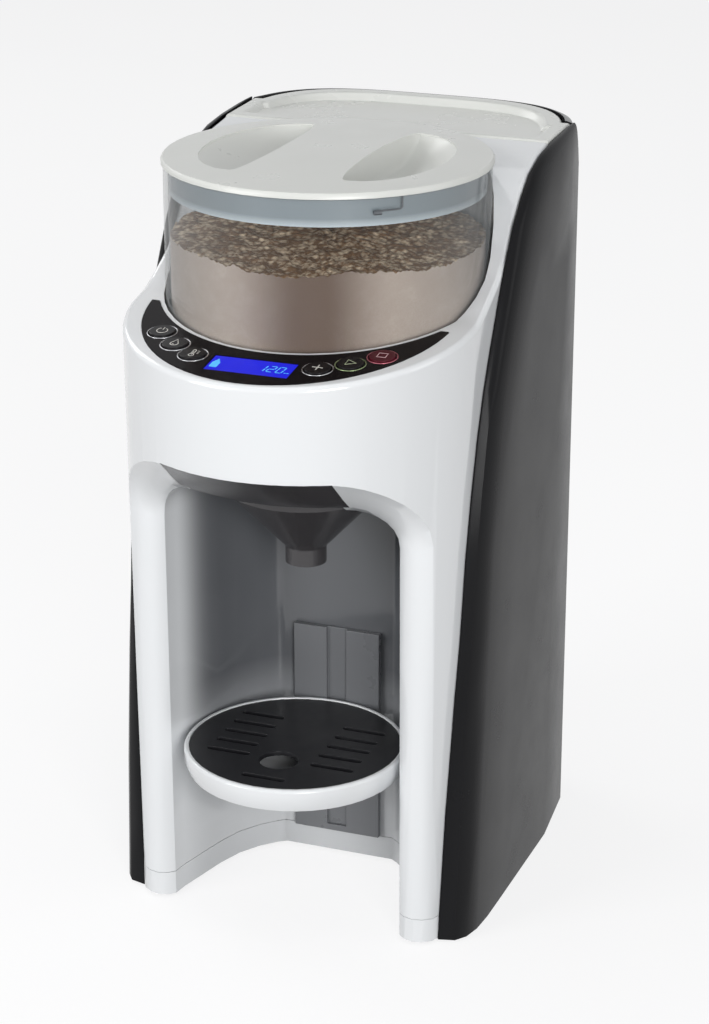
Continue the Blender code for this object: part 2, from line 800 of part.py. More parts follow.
def front_shell():
    shell = shell_solid("front_shell", 0.0, 0.0, SKIRT_HEIGHT + GAP, SHELL_REAR, SHELL_EDGE_ROLL)
    room = shell_solid("shell_room", SHELL_WALL, SHELL_TOP_WALL, -CUT_OVERRUN,
                       SHELL_REAR + CUT_OVERRUN)
    bay_wall = bay_solid("bay_wall", SHELL_WALL)
    well_radius = CONTAINER_RADIUS + WELL_CLEARANCE
    well_wall = cylinder("well_wall", well_radius + SHELL_WALL, WELL_FLOOR - WELL_FLOOR_WALL,
                         DECK_HEIGHT + CUT_OVERRUN, y=HOPPER_AXIS_Y, steps=ROUND_STEPS)
    cut(room, bay_wall, well_wall)
    well = cylinder("well", well_radius, WELL_FLOOR, DECK_HEIGHT + CUT_OVERRUN,
                    y=HOPPER_AXIS_Y, steps=ROUND_STEPS)
    bay = bay_solid("bay")
    bed = sloped_plate("panel_bed", crescent(-GAP, -GAP), CONTROL_PROUD - CONTROL_RECESS - GAP,
                       CUT_OVERRUN)
    shaft_hole = cylinder("shaft_hole", COUPLING_RADIUS + 2 * GAP, WELL_FLOOR - CUT_OVERRUN,
                          WELL_FLOOR + CUT_OVERRUN / 4, y=HOPPER_AXIS_Y)
    chute_hole = cylinder("chute_hole", OUTLET_RADIUS + 2 * GAP, WELL_FLOOR - CUT_OVERRUN,
                          WELL_FLOOR + CUT_OVERRUN / 4, y=OUTLET_Y)
    floor_top = BAY_CEILING + SHELL_WALL
    drawer_way = block(
        "drawer_way",
        (-FUNNEL_HALF_WIDTH - GAP, FRONT_AXIS_Y - 2 * SHELL_FOOT_RADIUS, floor_top),
        (FUNNEL_HALF_WIDTH + GAP, FUNNEL_BACK + GAP, FUNNEL_TOP + GAP),
    )
    slot = slot_solid("cone_slot", FUNNEL_CONE_RADIUS + 2 * GAP, BAY_CEILING - CUT_OVERRUN,
                      floor_top + CUT_OVERRUN / 4)
    cut(shell, room, well, bay, bed, shaft_hole, chute_hole, drawer_way, slot)
    for name, (x, y) in zip(KEY_NAMES, key_places()):
        cut(shell, on_panel("way_" + name, KEY_STEM_RADIUS + 2 * GAP, -CUT_OVERRUN,
                            CUT_OVERRUN, x, y, steps=12))
    window = sloped_plate("display_way", display_outline(-GAP - SHELL_EDGE_ROLL), -CUT_OVERRUN,
                          CUT_OVERRUN)
    cut(shell, window)
    return dress(shell, "white_shell")


def slot_solid(name, radius, bottom, top):
    """Slot open to the front, with a round end at the funnel's axis."""
    outline = []
    for step in range(ARC_STEPS + 1):
        angle = math.pi * step / ARC_STEPS
        outline.append((radius * math.cos(angle), FUNNEL_AXIS_Y + radius * math.sin(angle)))
    front = FRONT_AXIS_Y - 2 * SHELL_FOOT_RADIUS
    outline += [(-radius, front), (radius, front)]
    return extruded(name, outline, bottom, top)


def display_outline(inset=0.0):
    half = DISPLAY_WIDTH / 2 - inset
    front = DISPLAY_Y - DISPLAY_DEPTH / 2 + inset
    back = DISPLAY_Y + DISPLAY_DEPTH / 2 - inset
    return [(-half, front), (half, front), (half, back), (-half, back)]


def base_skirt():
    """White foot band: a tray that follows the shell and leaves the bay open to the table."""
    skirt = shell_foot("base_skirt", 0.0, SKIRT_LIFT, SKIRT_HEIGHT, SHELL_REAR)
    room = shell_foot("skirt_room", SHELL_WALL, SKIRT_LIFT + SKIRT_FLOOR,
                      SKIRT_HEIGHT + CUT_OVERRUN, SHELL_REAR - SHELL_WALL)
    cut(room, bay_solid("skirt_bay_wall", SHELL_WALL))
    way = across_y("skirt_way", HOSE_RADIUS + 2 * GAP, SHELL_REAR - SHELL_WALL - CUT_OVERRUN,
                   SHELL_REAR + CUT_OVERRUN, 0.0, SUPPLY_Z)
    cut(skirt, way, room, bay_solid("skirt_bay"))
    return dress(skirt, "white_shell")


def shell_foot(name, inset, bottom, top, rear):
    rings = [[(x, y, z) for x, y in shell_outline(z, inset, rear)] for z in (bottom, top)]
    return loft(name, rings)


def rear_outline(inset, front, drawn=0.0, inner=None, step=None):
    """Plan of the rear body: straight between the side panels, rounded off behind them."""
    width = BODY_HALF_WIDTH - LID_SIDE_MARGIN * drawn - inset
    back = BODY_BACK - LID_BACK_MARGIN * drawn - inset
    inner = (SHELL_FOOT_RADIUS if inner is None else inner) - inset
    step = PANEL_REAR + GAP + inset if step is None else step
    power = 2 / BODY_CORNER_POWER
    reach = back - BODY_CORNER_START
    widest = math.acos(((step - BODY_CORNER_START) / reach) ** (1 / power))
    rear = []
    for i in range(REAR_STEPS + 1):
        angle = widest * (1 - i / REAR_STEPS)
        x = width * math.sin(angle) ** power
        rear.append((x, BODY_CORNER_START + reach * math.cos(angle) ** power))
    right = [(inner, front), (inner, step)] + rear
    return right + [(-x, y) for x, y in reversed(right[:-1])]


def level_ring(points, z):
    return [(x, y, z) for x, y in points]


def rear_base():
    """Dark rear foot that carries the tank and takes the water from it."""
    outline = rear_outline(0.0, TANK_FRONT)
    base = loft("rear_base", [level_ring(outline, z) for z in (SKIRT_LIFT, TANK_BOTTOM - GAP)])
    socket_low = SKIRT_LIFT + SKIRT_FLOOR
    socket = cylinder("socket_well", VALVE_RADIUS + GAP, socket_low, TANK_BOTTOM + CUT_OVERRUN,
                      y=VALVE_Y)
    way = across_y("supply_way", HOSE_RADIUS + 2 * GAP, SHELL_REAR - CUT_OVERRUN, VALVE_Y,
                   0.0, SUPPLY_Z)
    inlet = block(
        "inlet_well",
        (-INLET_HALF - GAP, BODY_BACK - INLET_DEPTH - GAP, INLET_LOW - GAP),
        (INLET_HALF + GAP, BODY_BACK + CUT_OVERRUN, INLET_HIGH + GAP),
    )
    cut(base, socket, way, inlet)
    return dress(base, "dark_panel")


def across_y(name, radius, front, back, x, z, steps=SMALL_STEPS):
    """Cylinder that lies along Y."""
    obj = cylinder(name, radius, front, back, steps=steps)
    obj.data.transform(Matrix.Translation((x, 0.0, z)) @ Matrix.Rotation(-math.pi / 2, 4, "X"))
    return obj


def cord_inlet():
    inlet = block("cord_inlet", (-INLET_HALF, BODY_BACK - INLET_DEPTH, INLET_LOW),
                  (INLET_HALF, BODY_BACK - INLET_LIP, INLET_HIGH))
    mouth = block(
        "inlet_mouth",
        (-INLET_HALF + INLET_WALL, BODY_BACK - INLET_DEPTH + INLET_WALL, INLET_LOW + INLET_WALL),
        (INLET_HALF - INLET_WALL, BODY_BACK + CUT_OVERRUN, INLET_HIGH - INLET_WALL),
    )
    cut(inlet, mouth)
    pins = []
    for side in (-1, 1):
        pins.append(across_y("inlet_pin", INLET_PIN, BODY_BACK - INLET_DEPTH + INLET_WALL / 2,
                             BODY_BACK - INLET_DEPTH + INLET_PIN_REACH, side * INLET_PIN_SPREAD,
                             (INLET_LOW + INLET_HIGH) / 2, steps=10))
    fuse(inlet, *pins)
    return dress(inlet, "black_gloss")


def rear_bulkhead():
    """Wall that closes the shell towards the tank and carries the circuit boards."""
    half = SHELL_FOOT_RADIUS - SHELL_WALL - GAP
    wall = block(
        "rear_bulkhead",
        (-half, SHELL_REAR - GAP - BULKHEAD_WALL, SKIRT_HEIGHT + GAP),
        (half, SHELL_REAR - GAP, DECK_HEIGHT - SHELL_TOP_WALL - 3 * GAP),
    )
    cut(wall, cylinder("bulkhead_round", CONTAINER_RADIUS + WELL_CLEARANCE + SHELL_WALL + GAP,
                       WELL_FLOOR - WELL_FLOOR_WALL - GAP, DECK_HEIGHT, y=HOPPER_AXIS_Y,
                       steps=ROUND_STEPS))
    return dress(wall, "white_satin")


def hopper_hollow(name):
    """Room for the hopper in the front of the tank and its lid."""
    return cylinder(name, LID_RADIUS + WELL_CLEARANCE, TANK_BOTTOM - CUT_OVERRUN,
                    DECK_RIM_TOP + CUT_OVERRUN, y=HOPPER_AXIS_Y, steps=ROUND_STEPS)


def tank_ring(inset, drawn, rear_z, front_z, front=None):
    front = TANK_FRONT + inset if front is None else front
    outline = rear_outline(inset, front, drawn)
    flat = (0, 1, len(outline) - 2, len(outline) - 1)
    return [(x, y, front_z if i in flat else rear_z) for i, (x, y) in enumerate(outline)]


def water_tank():
    """Smoke tank: the back of the machine, rolled in at its top to a lip round the deck lid."""
    lip_z = DECK_RIM_TOP - LIP_DROP
    rings = [tank_ring(0.0, 0.0, TANK_BOTTOM, TANK_BOTTOM)]
    for step in range(TANK_ROLL_STEPS + 1):
        share = (1 - step / TANK_ROLL_STEPS) ** 2
        drawn = 1 - roll_share(share, 1.0)
        rings.append(tank_ring(0.0, drawn, lip_z - TANK_ROLL * share,
                               TANK_TOP - TANK_ROLL * share))
    inner = TANK_WALL + TANK_LEDGE
    rings.append(tank_ring(TANK_LIP / 2, 1.0, lip_z, TANK_TOP))
    rings.append(tank_ring(TANK_LIP / 2, 1.0, TANK_TOP, TANK_TOP))
    rings.append(tank_ring(inner, 1.0, TANK_TOP, TANK_TOP, TANK_INNER_FRONT))
    low = TANK_TOP - TANK_LEDGE
    rings.append(tank_ring(inner, 1.0, low, low, TANK_INNER_FRONT))
    low = TANK_TOP - TANK_ROLL - TANK_LEDGE
    rings.append(tank_ring(TANK_WALL, 0.0, low, low, TANK_INNER_FRONT))
    floor = TANK_BOTTOM + TANK_FLOOR
    rings.append(tank_ring(TANK_WALL, 0.0, floor, floor, TANK_INNER_FRONT))
    tank = merged(loft("water_tank", rings))
    valve_way = cylinder("valve_way", VALVE_STEM + GAP, TANK_BOTTOM - CUT_OVERRUN,
                         floor + CUT_OVERRUN, y=VALVE_Y)
    seat = lid_outline(-2 * GAP)
    lid_seat = loft("lid_seat", [level_ring(seat, TANK_TOP + GAP / 2),
                                 level_ring(seat, DECK_RIM_TOP + CUT_OVERRUN)])
    cut(tank, valve_way, lid_seat, hopper_hollow("tank_hollow"))
    return dress(tank, "smoke")


def merged(obj):
    shape = bmesh.new()
    shape.from_mesh(obj.data)
    bmesh.ops.remove_doubles(shape, verts=shape.verts, dist=1e-6)
    shape.to_mesh(obj.data)
    shape.free()
    return obj


def rim_height(y, drop=0.0):
    """The deck lid's rim climbs gently from the shell's deck to the back."""
    share = min(max((y - TANK_FRONT) / (BODY_BACK - TANK_FRONT), 0.0), 1.0)
    return DECK_HEIGHT + DECK_RIM_START + (DECK_RIM_TOP - DECK_HEIGHT - DECK_RIM_START) * share - drop


def lid_outline(inset):
    edge = TANK_LIP + 2 * GAP
    inner = shell_radius(DECK_HEIGHT) - 2 * GAP + edge
    step = PANEL_REAR - 2 * GAP - inset
    return rear_outline(edge + inset, TANK_FRONT + GAP + inset, 1.0, inner, step)


def tank_lid():
    """White deck lid with a raised rim round a shallow recess."""
    rings = []
    for inset, drop in (
        (0.0, None), (0.0, LID_RIM_ROLL), (LID_RIM_ROLL * 0.3, LID_RIM_ROLL * 0.3),
        (LID_RIM_ROLL, 0.0), (LID_RIM_WIDTH - LID_RIM_ROLL, 0.0),
        (LID_RIM_WIDTH, LID_RIM_ROLL * 0.5), (LID_RIM_WIDTH + LID_RIM_ROLL, LID_RECESS_DEPTH),
    ):
        outline = lid_outline(inset)
        if drop is None:
            rings.append(level_ring(outline, TANK_TOP + GAP))
        elif drop == LID_RECESS_DEPTH:
            rings.append(level_ring(outline, TANK_TOP + GAP + LID_PLATE))
        else:
            rings.append([(x, y, rim_height(y, drop)) for x, y in outline])
    lid = merged(loft("tank_lid", rings))
    cut(lid, hopper_hollow("lid_hollow"))
    return dress(lid, "white_shell")


def tank_valve():
    top = TANK_BOTTOM + TANK_FLOOR + GAP
    valve = turned("tank_valve", [
        (0.0, top + VALVE_HEAD), (VALVE_STEM + VALVE_HEAD, top + VALVE_HEAD),
        (VALVE_STEM + VALVE_HEAD, top), (VALVE_STEM / 2, top),
        (VALVE_STEM / 2, TANK_BOTTOM - GAP), (0.0, TANK_BOTTOM - GAP),
    ], y=VALVE_Y, steps=SMALL_STEPS)
    return dress(valve, "acetal")


def valve_socket():
    """Socket under the tank, with a pin that lifts the valve and a nipple towards the pump."""
    low = SKIRT_LIFT + SKIRT_FLOOR + GAP
    top = TANK_BOTTOM - GAP
    socket = turned("valve_socket", [
        (0.0, SOCKET_FLOOR), (VALVE_RADIUS - SOCKET_WALL, SOCKET_FLOOR),
        (VALVE_RADIUS - SOCKET_WALL, top), (VALVE_RADIUS, top), (VALVE_RADIUS, low), (0.0, low),
    ], y=VALVE_Y, steps=SMALL_STEPS + 4)
    pin = cylinder("socket_pin", VALVE_STEM / 2, SOCKET_FLOOR - GAP, TANK_BOTTOM - 2 * GAP,
                   y=VALVE_Y, steps=12)
    fuse(socket, pin)
    return dress(socket, "acetal")


def coil_points(radius, bottom, top, turns, x, y, per_turn=10):
    points = []
    total = int(turns * per_turn)
    for i in range(total + 1):
        angle = 2 * math.pi * i / per_turn
        points.append((x + radius * math.cos(angle), y + radius * math.sin(angle),
                       bottom + (top - bottom) * i / total))
    return points


def valve_spring():
    low = TANK_BOTTOM + TANK_FLOOR + GAP + VALVE_HEAD + SPRING_WIRE + GAP
    spring = tube("valve_spring",
                  coil_points(VALVE_STEM, low, low + SPRING_HEIGHT, SPRING_TURNS, 0.0, VALVE_Y),
                  SPRING_WIRE, sides=1)
    return dress(spring, "steel")


def valve_cage():
    """Cage over the spring, standing on the tank's floor."""
    floor = TANK_BOTTOM + TANK_FLOOR + GAP
    top = floor + VALVE_HEAD + SPRING_HEIGHT + 2 * SPRING_WIRE + 3 * GAP
    outer = VALVE_STEM + VALVE_HEAD + 2 * GAP + CAGE_WALL
    cage = turned("valve_cage", [
        (0.0, top + CAGE_WALL), (outer, top + CAGE_WALL), (outer, floor),
        (outer - CAGE_WALL, floor), (outer - CAGE_WALL, top), (0.0, top),
    ], y=VALVE_Y, steps=SMALL_STEPS)
    for side in (0, 1):
        half = (CAGE_SLOT / 2, outer + CUT_OVERRUN)
        x, y = half[side], half[1 - side]
        cut(cage, block("cage_slot", (-x, VALVE_Y - y, floor + CAGE_WALL),
                        (x, VALVE_Y + y, top - CAGE_WALL)))
    return dress(cage, "acetal")


def hopper_container():
    """Clear round container with a flat floor, an outlet and a hole for the drive."""
    low = WELL_FLOOR + GAP
    floor = low + CONTAINER_FLOOR
    inner = CONTAINER_RADIUS - CONTAINER_WALL
    container = turned("hopper_container", [
        (CONTAINER_RADIUS, CONTAINER_TOP), (CONTAINER_RADIUS, low + CONTAINER_WALL),
        (CONTAINER_RADIUS - CONTAINER_WALL, low), (COUPLING_RADIUS + GAP, low),
        (COUPLING_RADIUS + GAP, floor), (inner, floor), (inner, CONTAINER_TOP),
    ], y=HOPPER_AXIS_Y, closed=True)
    cut(container, cylinder("outlet", OUTLET_RADIUS, low - CUT_OVERRUN, floor + CONTAINER_FLOOR,
                            y=OUTLET_Y))
    return dress(container, "clear")


def scoop(name, side, grow):
    """Finger scoop beside the handle bar: steep at the bar, running out to the rim."""
    rings = []
    for depth, reach, length, bow in SCOOP_SHARES:
        z = LID_SEAT + LID_EDGE - (SCOOP_DEPTH + grow) * depth
        if depth < 0:
            z = LID_SEAT + LID_EDGE + CUT_OVERRUN
        half = SCOOP_LENGTH / 2 * length + grow
        far = SCOOP_REACH * reach + grow
        back = SCOOP_BOW * bow + grow
        ring = []
        for step in range(SCOOP_STEPS + 1):
            angle = -math.pi / 2 + math.pi * step / SCOOP_STEPS
            ring.append((LID_BAR_HALF + far * math.cos(angle), half * math.sin(angle), z))
        for step in range(1, SCOOP_STEPS):
            angle = math.pi / 2 + math.pi * step / SCOOP_STEPS
            ring.append((LID_BAR_HALF + back * math.cos(angle), half * math.sin(angle), z))
        rings.append([(side * x, HOPPER_AXIS_Y + side * y, z) for x, y, z in ring])
    return loft(name, list(reversed(rings)))


def hopper_lid():
    """Round lid: a gently domed disc, a skirt that enters the container and two finger scoops."""
    skirt = CONTAINER_RADIUS - CONTAINER_WALL - GAP
    top = LID_SEAT + LID_EDGE
    profile = [(0.0, top + LID_DOME)]
    for step in range(1, LID_DOME_STEPS):
        share = step / LID_DOME_STEPS
        profile.append((LID_RADIUS * share, top + LID_DOME * (1 - share ** 2)))
    profile += [
        (LID_RADIUS - LID_EDGE / 3, top - LID_EDGE * 0.08), (LID_RADIUS, top - LID_EDGE / 2),
        (LID_RADIUS, LID_SEAT), (skirt, LID_SEAT), (skirt, LID_SEAT - LID_SKIRT_DEPTH),
        (skirt - LID_SKIRT_WALL, LID_SEAT - LID_SKIRT_DEPTH),
        (skirt - LID_SKIRT_WALL, LID_SEAT), (0.0, LID_SEAT),
    ]
    lid = turned("hopper_lid", profile, y=HOPPER_AXIS_Y, steps=ROUND_STEPS)
    for side in (-1, 1):
        pocket = scoop("scoop_pocket", side, SCOOP_WALL)
        cut(pocket, block("pocket_top", (-LID_RADIUS, HOPPER_AXIS_Y - LID_RADIUS,
                                         LID_SEAT + LID_EDGE / 2),
                          (LID_RADIUS, HOPPER_AXIS_Y + LID_RADIUS, DECK_HEIGHT + LID_RADIUS)))
        fuse(lid, pocket)
    for side in (-1, 1):
        cut(lid, scoop("scoop_cut", side, 0.0))
    return dress(lid, "white_satin")


def powder_wheel():
    """Dosing wheel: a disc with a ring of pockets that pass over the outlet."""
    low = WELL_FLOOR + GAP + CONTAINER_FLOOR + GAP
    top = low + WHEEL_HEIGHT
    hub_top = top + WHEEL_HUB_RISE
    reach = CONTAINER_RADIUS - CONTAINER_WALL - WHEEL_CLEARANCE
    wheel = turned("powder_wheel", [
        (0.0, hub_top), (WHEEL_HUB, hub_top), (WHEEL_HUB, top), (reach, low + WHEEL_RIM),
        (reach, low), (0.0, low),
    ], y=HOPPER_AXIS_Y)
    pocket_circle = HOPPER_AXIS_Y - OUTLET_Y
    for index in range(WHEEL_POCKETS):
        angle = 2 * math.pi * index / WHEEL_POCKETS
        cut(wheel, cylinder("pocket", WHEEL_POCKET_RADIUS, low - CUT_OVERRUN, top + CUT_OVERRUN,
                            pocket_circle * math.sin(angle),
                            HOPPER_AXIS_Y - pocket_circle * math.cos(angle), steps=14))
    cut(wheel, cylinder("wheel_bore", HEX_RADIUS + GAP * 1.5, low - CUT_OVERRUN,
                        hub_top - WHEEL_HUB_CAP, y=HOPPER_AXIS_Y, steps=6))
    return dress(wheel, "white_satin")


def stirrer():
    """Three bent arms on a ring over the wheel's hub keep the powder loose."""
    wheel_top = WELL_FLOOR + 2 * GAP + CONTAINER_FLOOR + WHEEL_HEIGHT
    low = wheel_top + GAP
    ring_inner = WHEEL_HUB + GAP
    ring = turned("stirrer", [
        (ring_inner + STIRRER_BAR, low + WHEEL_HUB_RISE), (ring_inner + STIRRER_BAR, low),
        (ring_inner, low), (ring_inner, low + WHEEL_HUB_RISE),
    ], y=HOPPER_AXIS_Y, steps=24, closed=True)
    arms = []
    for index in range(STIRRER_ARMS):
        turn = 2 * math.pi * index / STIRRER_ARMS
        z = low + STIRRER_BAR
        local = [(ring_inner + STIRRER_BAR / 2, z), (STIRRER_REACH - STIRRER_BAR, z),
                 (STIRRER_REACH, z + STIRRER_BAR), (STIRRER_REACH, low + STIRRER_HEIGHT),
                 (STIRRER_REACH - STIRRER_HOOK, low + STIRRER_HEIGHT)]
        route = [(r * math.cos(turn), HOPPER_AXIS_Y + r * math.sin(turn), height)
                 for r, height in local]
        arms.append(tube("arm", rounded_route(route, STIRRER_BAR, steps=2), STIRRER_BAR / 2, 1))
    fuse(ring, *arms)
    return dress(ring, "white_satin")


def gear_outline(teeth, x, y, phase):
    """Outline of a spur gear with tapering flanks; phase puts a tooth's centre at that angle."""
    pitch = GEAR_MODULE * teeth / 2
    tip = pitch + GEAR_MODULE * GEAR_ADDENDUM_SHARE
    root = pitch - GEAR_MODULE * GEAR_DEDENDUM_SHARE
    step = 2 * math.pi / teeth
    points = []
    for tooth in range(teeth):
        centre = phase + tooth * step
        for offset_share, radius in (
            (-0.31, root), (-0.22, pitch), (-0.11, tip), (0.11, tip), (0.22, pitch), (0.31, root),
        ):
            angle = centre + step * offset_share
            points.append((x + radius * math.cos(angle), y + radius * math.sin(angle)))
    return points


def drive_places():
    """Depths of the wheel gear, the idler and the motor pinion, one behind the other."""
    idler = HOPPER_AXIS_Y + GEAR_MODULE * (WHEEL_GEAR_TEETH + IDLER_TEETH) / 2
    pinion = idler + GEAR_MODULE * (IDLER_TEETH + PINION_TEETH) / 2
    return HOPPER_AXIS_Y, idler, pinion


def gears():
    wheel_y, idler_y, pinion_y = drive_places()
    top = GEAR_BOTTOM + GEAR_WIDTH
    idler_phase = -math.pi / 2 + math.pi / IDLER_TEETH
    idler_back = (math.pi / 2 - idler_phase) / (2 * math.pi / IDLER_TEETH)
    offset = (idler_back - math.floor(idler_back)) * 2 * math.pi / PINION_TEETH
    pinion_phase = -math.pi / 2 + math.pi / PINION_TEETH + offset
    for name, teeth, y, phase, bore in (
        ("wheel_gear", WHEEL_GEAR_TEETH, wheel_y, math.pi / 2, SHAFT_RADIUS),
        ("idler_gear", IDLER_TEETH, idler_y, idler_phase, IDLER_PIN_RADIUS),
        ("motor_pinion", PINION_TEETH, pinion_y, pinion_phase, MOTOR_SHAFT),
    ):
        gear = extruded(name, gear_outline(teeth, 0.0, y, phase), GEAR_BOTTOM, top)
        cut(gear, cylinder(name + "_bore", bore + GAP, GEAR_BOTTOM - CUT_OVERRUN,
                           top + CUT_OVERRUN, y=y, steps=16))
        dress(gear, "acetal")


def drive_parts():
    wheel_y, idler_y, pinion_y = drive_places()
    plate_top = DECK_PLATE_BOTTOM + DECK_PLATE
    hex_low = WELL_FLOOR + GAP
    hex_top = WELL_FLOOR + 2 * GAP + CONTAINER_FLOOR + WHEEL_HEIGHT + WHEEL_HUB_RISE
    hex_top -= WHEEL_HUB_CAP + GAP
    dress(cylinder("drive_shaft", SHAFT_RADIUS, DECK_PLATE_BOTTOM - SHAFT_TAIL, hex_low - GAP,
                   y=wheel_y), "steel")
    coupling = cylinder("drive_coupling", HEX_RADIUS, hex_low, hex_top, y=wheel_y, steps=6)
    dress(coupling, "acetal")
    dress(turned("shaft_bearing", [
        (BEARING_RADIUS, plate_top), (BEARING_RADIUS, DECK_PLATE_BOTTOM - BEARING_DROP),
        (SHAFT_RADIUS + GAP, DECK_PLATE_BOTTOM - BEARING_DROP), (SHAFT_RADIUS + GAP, plate_top),
    ], y=wheel_y, steps=SMALL_STEPS, closed=True), "steel")
    dress(cylinder("idler_pin", IDLER_PIN_RADIUS, DECK_PLATE_BOTTOM - GAP * 3,
                   GEAR_BOTTOM + GEAR_WIDTH + PIN_STAND, y=idler_y, steps=16), "steel")
    plate = block(
        "gearbox_base",
        (-PLATE_HALF_WIDTH, wheel_y - PLATE_MARGIN, DECK_PLATE_BOTTOM),
        (PLATE_HALF_WIDTH, pinion_y + MOTOR_RADIUS, plate_top),
    )
    for x in (-1, 1):
        for y in (wheel_y - POST_OFFSET, pinion_y + POST_SETBACK):
            fuse(plate, cylinder("post", POST_RADIUS, plate_top - DECK_PLATE / 2,
                                 WELL_FLOOR - WELL_FLOOR_WALL - GAP, x * POST_SPREAD, y, steps=12))
    cut(plate, cylinder("bearing_seat", BEARING_RADIUS + GAP, DECK_PLATE_BOTTOM - CUT_OVERRUN,
                        plate_top + DECK_PLATE, y=wheel_y))
    cut(plate, cylinder("pin_seat", IDLER_PIN_RADIUS + GAP, DECK_PLATE_BOTTOM - CUT_OVERRUN,
                        plate_top + DECK_PLATE, y=idler_y, steps=16))
    cut(plate, cylinder("motor_seat", MOTOR_BOSS + GAP, DECK_PLATE_BOTTOM - CUT_OVERRUN,
                        plate_top + DECK_PLATE, y=pinion_y))
    dress(plate, "white_satin")
    motor = turned("motor", [
        (0.0, GEAR_BOTTOM + GEAR_WIDTH), (MOTOR_SHAFT, GEAR_BOTTOM + GEAR_WIDTH),
        (MOTOR_SHAFT, plate_top), (MOTOR_BOSS, plate_top), (MOTOR_BOSS, DECK_PLATE_BOTTOM - GAP),
        (MOTOR_RADIUS, DECK_PLATE_BOTTOM - GAP),
        (MOTOR_RADIUS, DECK_PLATE_BOTTOM - GAP - MOTOR_LENGTH),
        (0.0, DECK_PLATE_BOTTOM - GAP - MOTOR_LENGTH),
    ], y=pinion_y, steps=24)
    dress(motor, "motor_can")
    gearbox_cover(wheel_y, pinion_y, plate_top)
    index = 0
    for x in (-1, 1):
        for y in (wheel_y - POST_OFFSET, pinion_y + POST_SETBACK):
            index += 1
            dress(cylinder("gearbox_screw_%d" % index, SCREW_RADIUS,
                           DECK_PLATE_BOTTOM - GAP - SCREW_HEAD, DECK_PLATE_BOTTOM - GAP,
                           x * POST_SPREAD, y, steps=12), "steel")


def stadium(half, front, back, steps=12):
    points = []
    for step in range(steps + 1):
        angle = math.pi * step / steps
        points.append((half * math.cos(angle), back + half * math.sin(angle)))
    for step in range(steps + 1):
        angle = math.pi + math.pi * step / steps
        points.append((half * math.cos(angle), front + half * math.sin(angle)))
    return points


def gearbox_cover(wheel_y, pinion_y, plate_top):
    half = GEAR_MODULE * WHEEL_GEAR_TEETH / 2 + GEAR_MODULE + COVER_CLEARANCE
    top = GEAR_BOTTOM + GEAR_WIDTH + PIN_STAND + COVER_CLEARANCE
    cover = extruded("gearbox_cover", stadium(half + COVER_WALL, wheel_y, pinion_y - COVER_PULL),
                     plate_top + GAP, top + COVER_WALL)
    room = extruded("cover_room", stadium(half, wheel_y, pinion_y - COVER_PULL),
                    plate_top - CUT_OVERRUN, top)
    cut(cover, room, cylinder("cover_way", SHAFT_RADIUS + GAP * 2, top - CUT_OVERRUN,
                              top + CUT_OVERRUN, y=wheel_y))
    dress(cover, "white_satin")


def powder_chute():
    """Short pipe that leads the dosed powder past the gearbox into the funnel."""
    top = WELL_FLOOR - WELL_FLOOR_WALL - GAP
    inner = OUTLET_RADIUS
    chute = turned("powder_chute", [
        (inner + CHUTE_FLANGE, top), (inner + CHUTE_FLANGE, top - CHUTE_WALL),
        (inner + CHUTE_WALL, top - CHUTE_WALL), (inner + CHUTE_WALL, FUNNEL_TOP + 2 * GAP),
        (inner, FUNNEL_TOP + 2 * GAP), (inner, top),
    ], y=OUTLET_Y, steps=24, closed=True)
    return dress(chute, "white_satin")


def control_panel():
    """Glossy crescent in front of the hopper, with holes for the keys and the display."""
    plate = sloped_plate("control_panel", crescent(0.0), CONTROL_PROUD - CONTROL_RECESS,
                         CONTROL_PROUD)
    for name, (x, y) in zip(KEY_NAMES, key_places()):
        cut(plate, on_panel("hole_" + name, KEY_RADIUS + KEY_CLEARANCE, -CUT_OVERRUN,
                            CUT_OVERRUN, x, y, steps=24))
    cut(plate, sloped_plate("display_hole", display_outline(-GAP), -CUT_OVERRUN, CUT_OVERRUN))
    return dress(plate, "black_gloss")


def display_screen():
    screen = sloped_plate("display_screen", display_outline(), CONTROL_PROUD - CONTROL_RECESS,
                          CONTROL_PROUD - GAP)
    return dress(screen, "display_blue")


def keys():
    top = CONTROL_PROUD + KEY_PROUD
    for name, (x, y) in zip(KEY_NAMES, key_places()):
        key = on_panel(name, KEY_RADIUS, top - KEY_THICKNESS, top, x, y, steps=24,
                       top_radius=KEY_RADIUS - KEY_PROUD / 2)
        fuse(key, on_panel("stem_" + name, KEY_STEM_RADIUS, -SHELL_TOP_WALL - GAP,
                           top - KEY_THICKNESS / 2, x, y, steps=12))
        dress(key, "key_red" if name == "key_stop" else "black_gloss")


def display_board():
    """Crescent circuit board under the keys, on three stand-offs."""
    top = -SHELL_TOP_WALL - KEY_TRAVEL - 2 * GAP
    board = sloped_plate("display_board", crescent(BOARD_INSET, BOARD_END), top - BOARD_THICKNESS,
                         top)
    for angle in (-BOARD_POST_ANGLE, 0.0, BOARD_POST_ANGLE):
        turn = math.radians(angle)
        x = BOARD_POST_DISTANCE * math.sin(turn)
        y = HOPPER_AXIS_Y - BOARD_POST_DISTANCE * math.cos(turn)
        fuse(board, on_panel("stand_off", BOARD_POST, top - BOARD_THICKNESS / 2,
                             -SHELL_TOP_WALL - GAP, x, y, steps=10))
    return dress(board, "board_green")


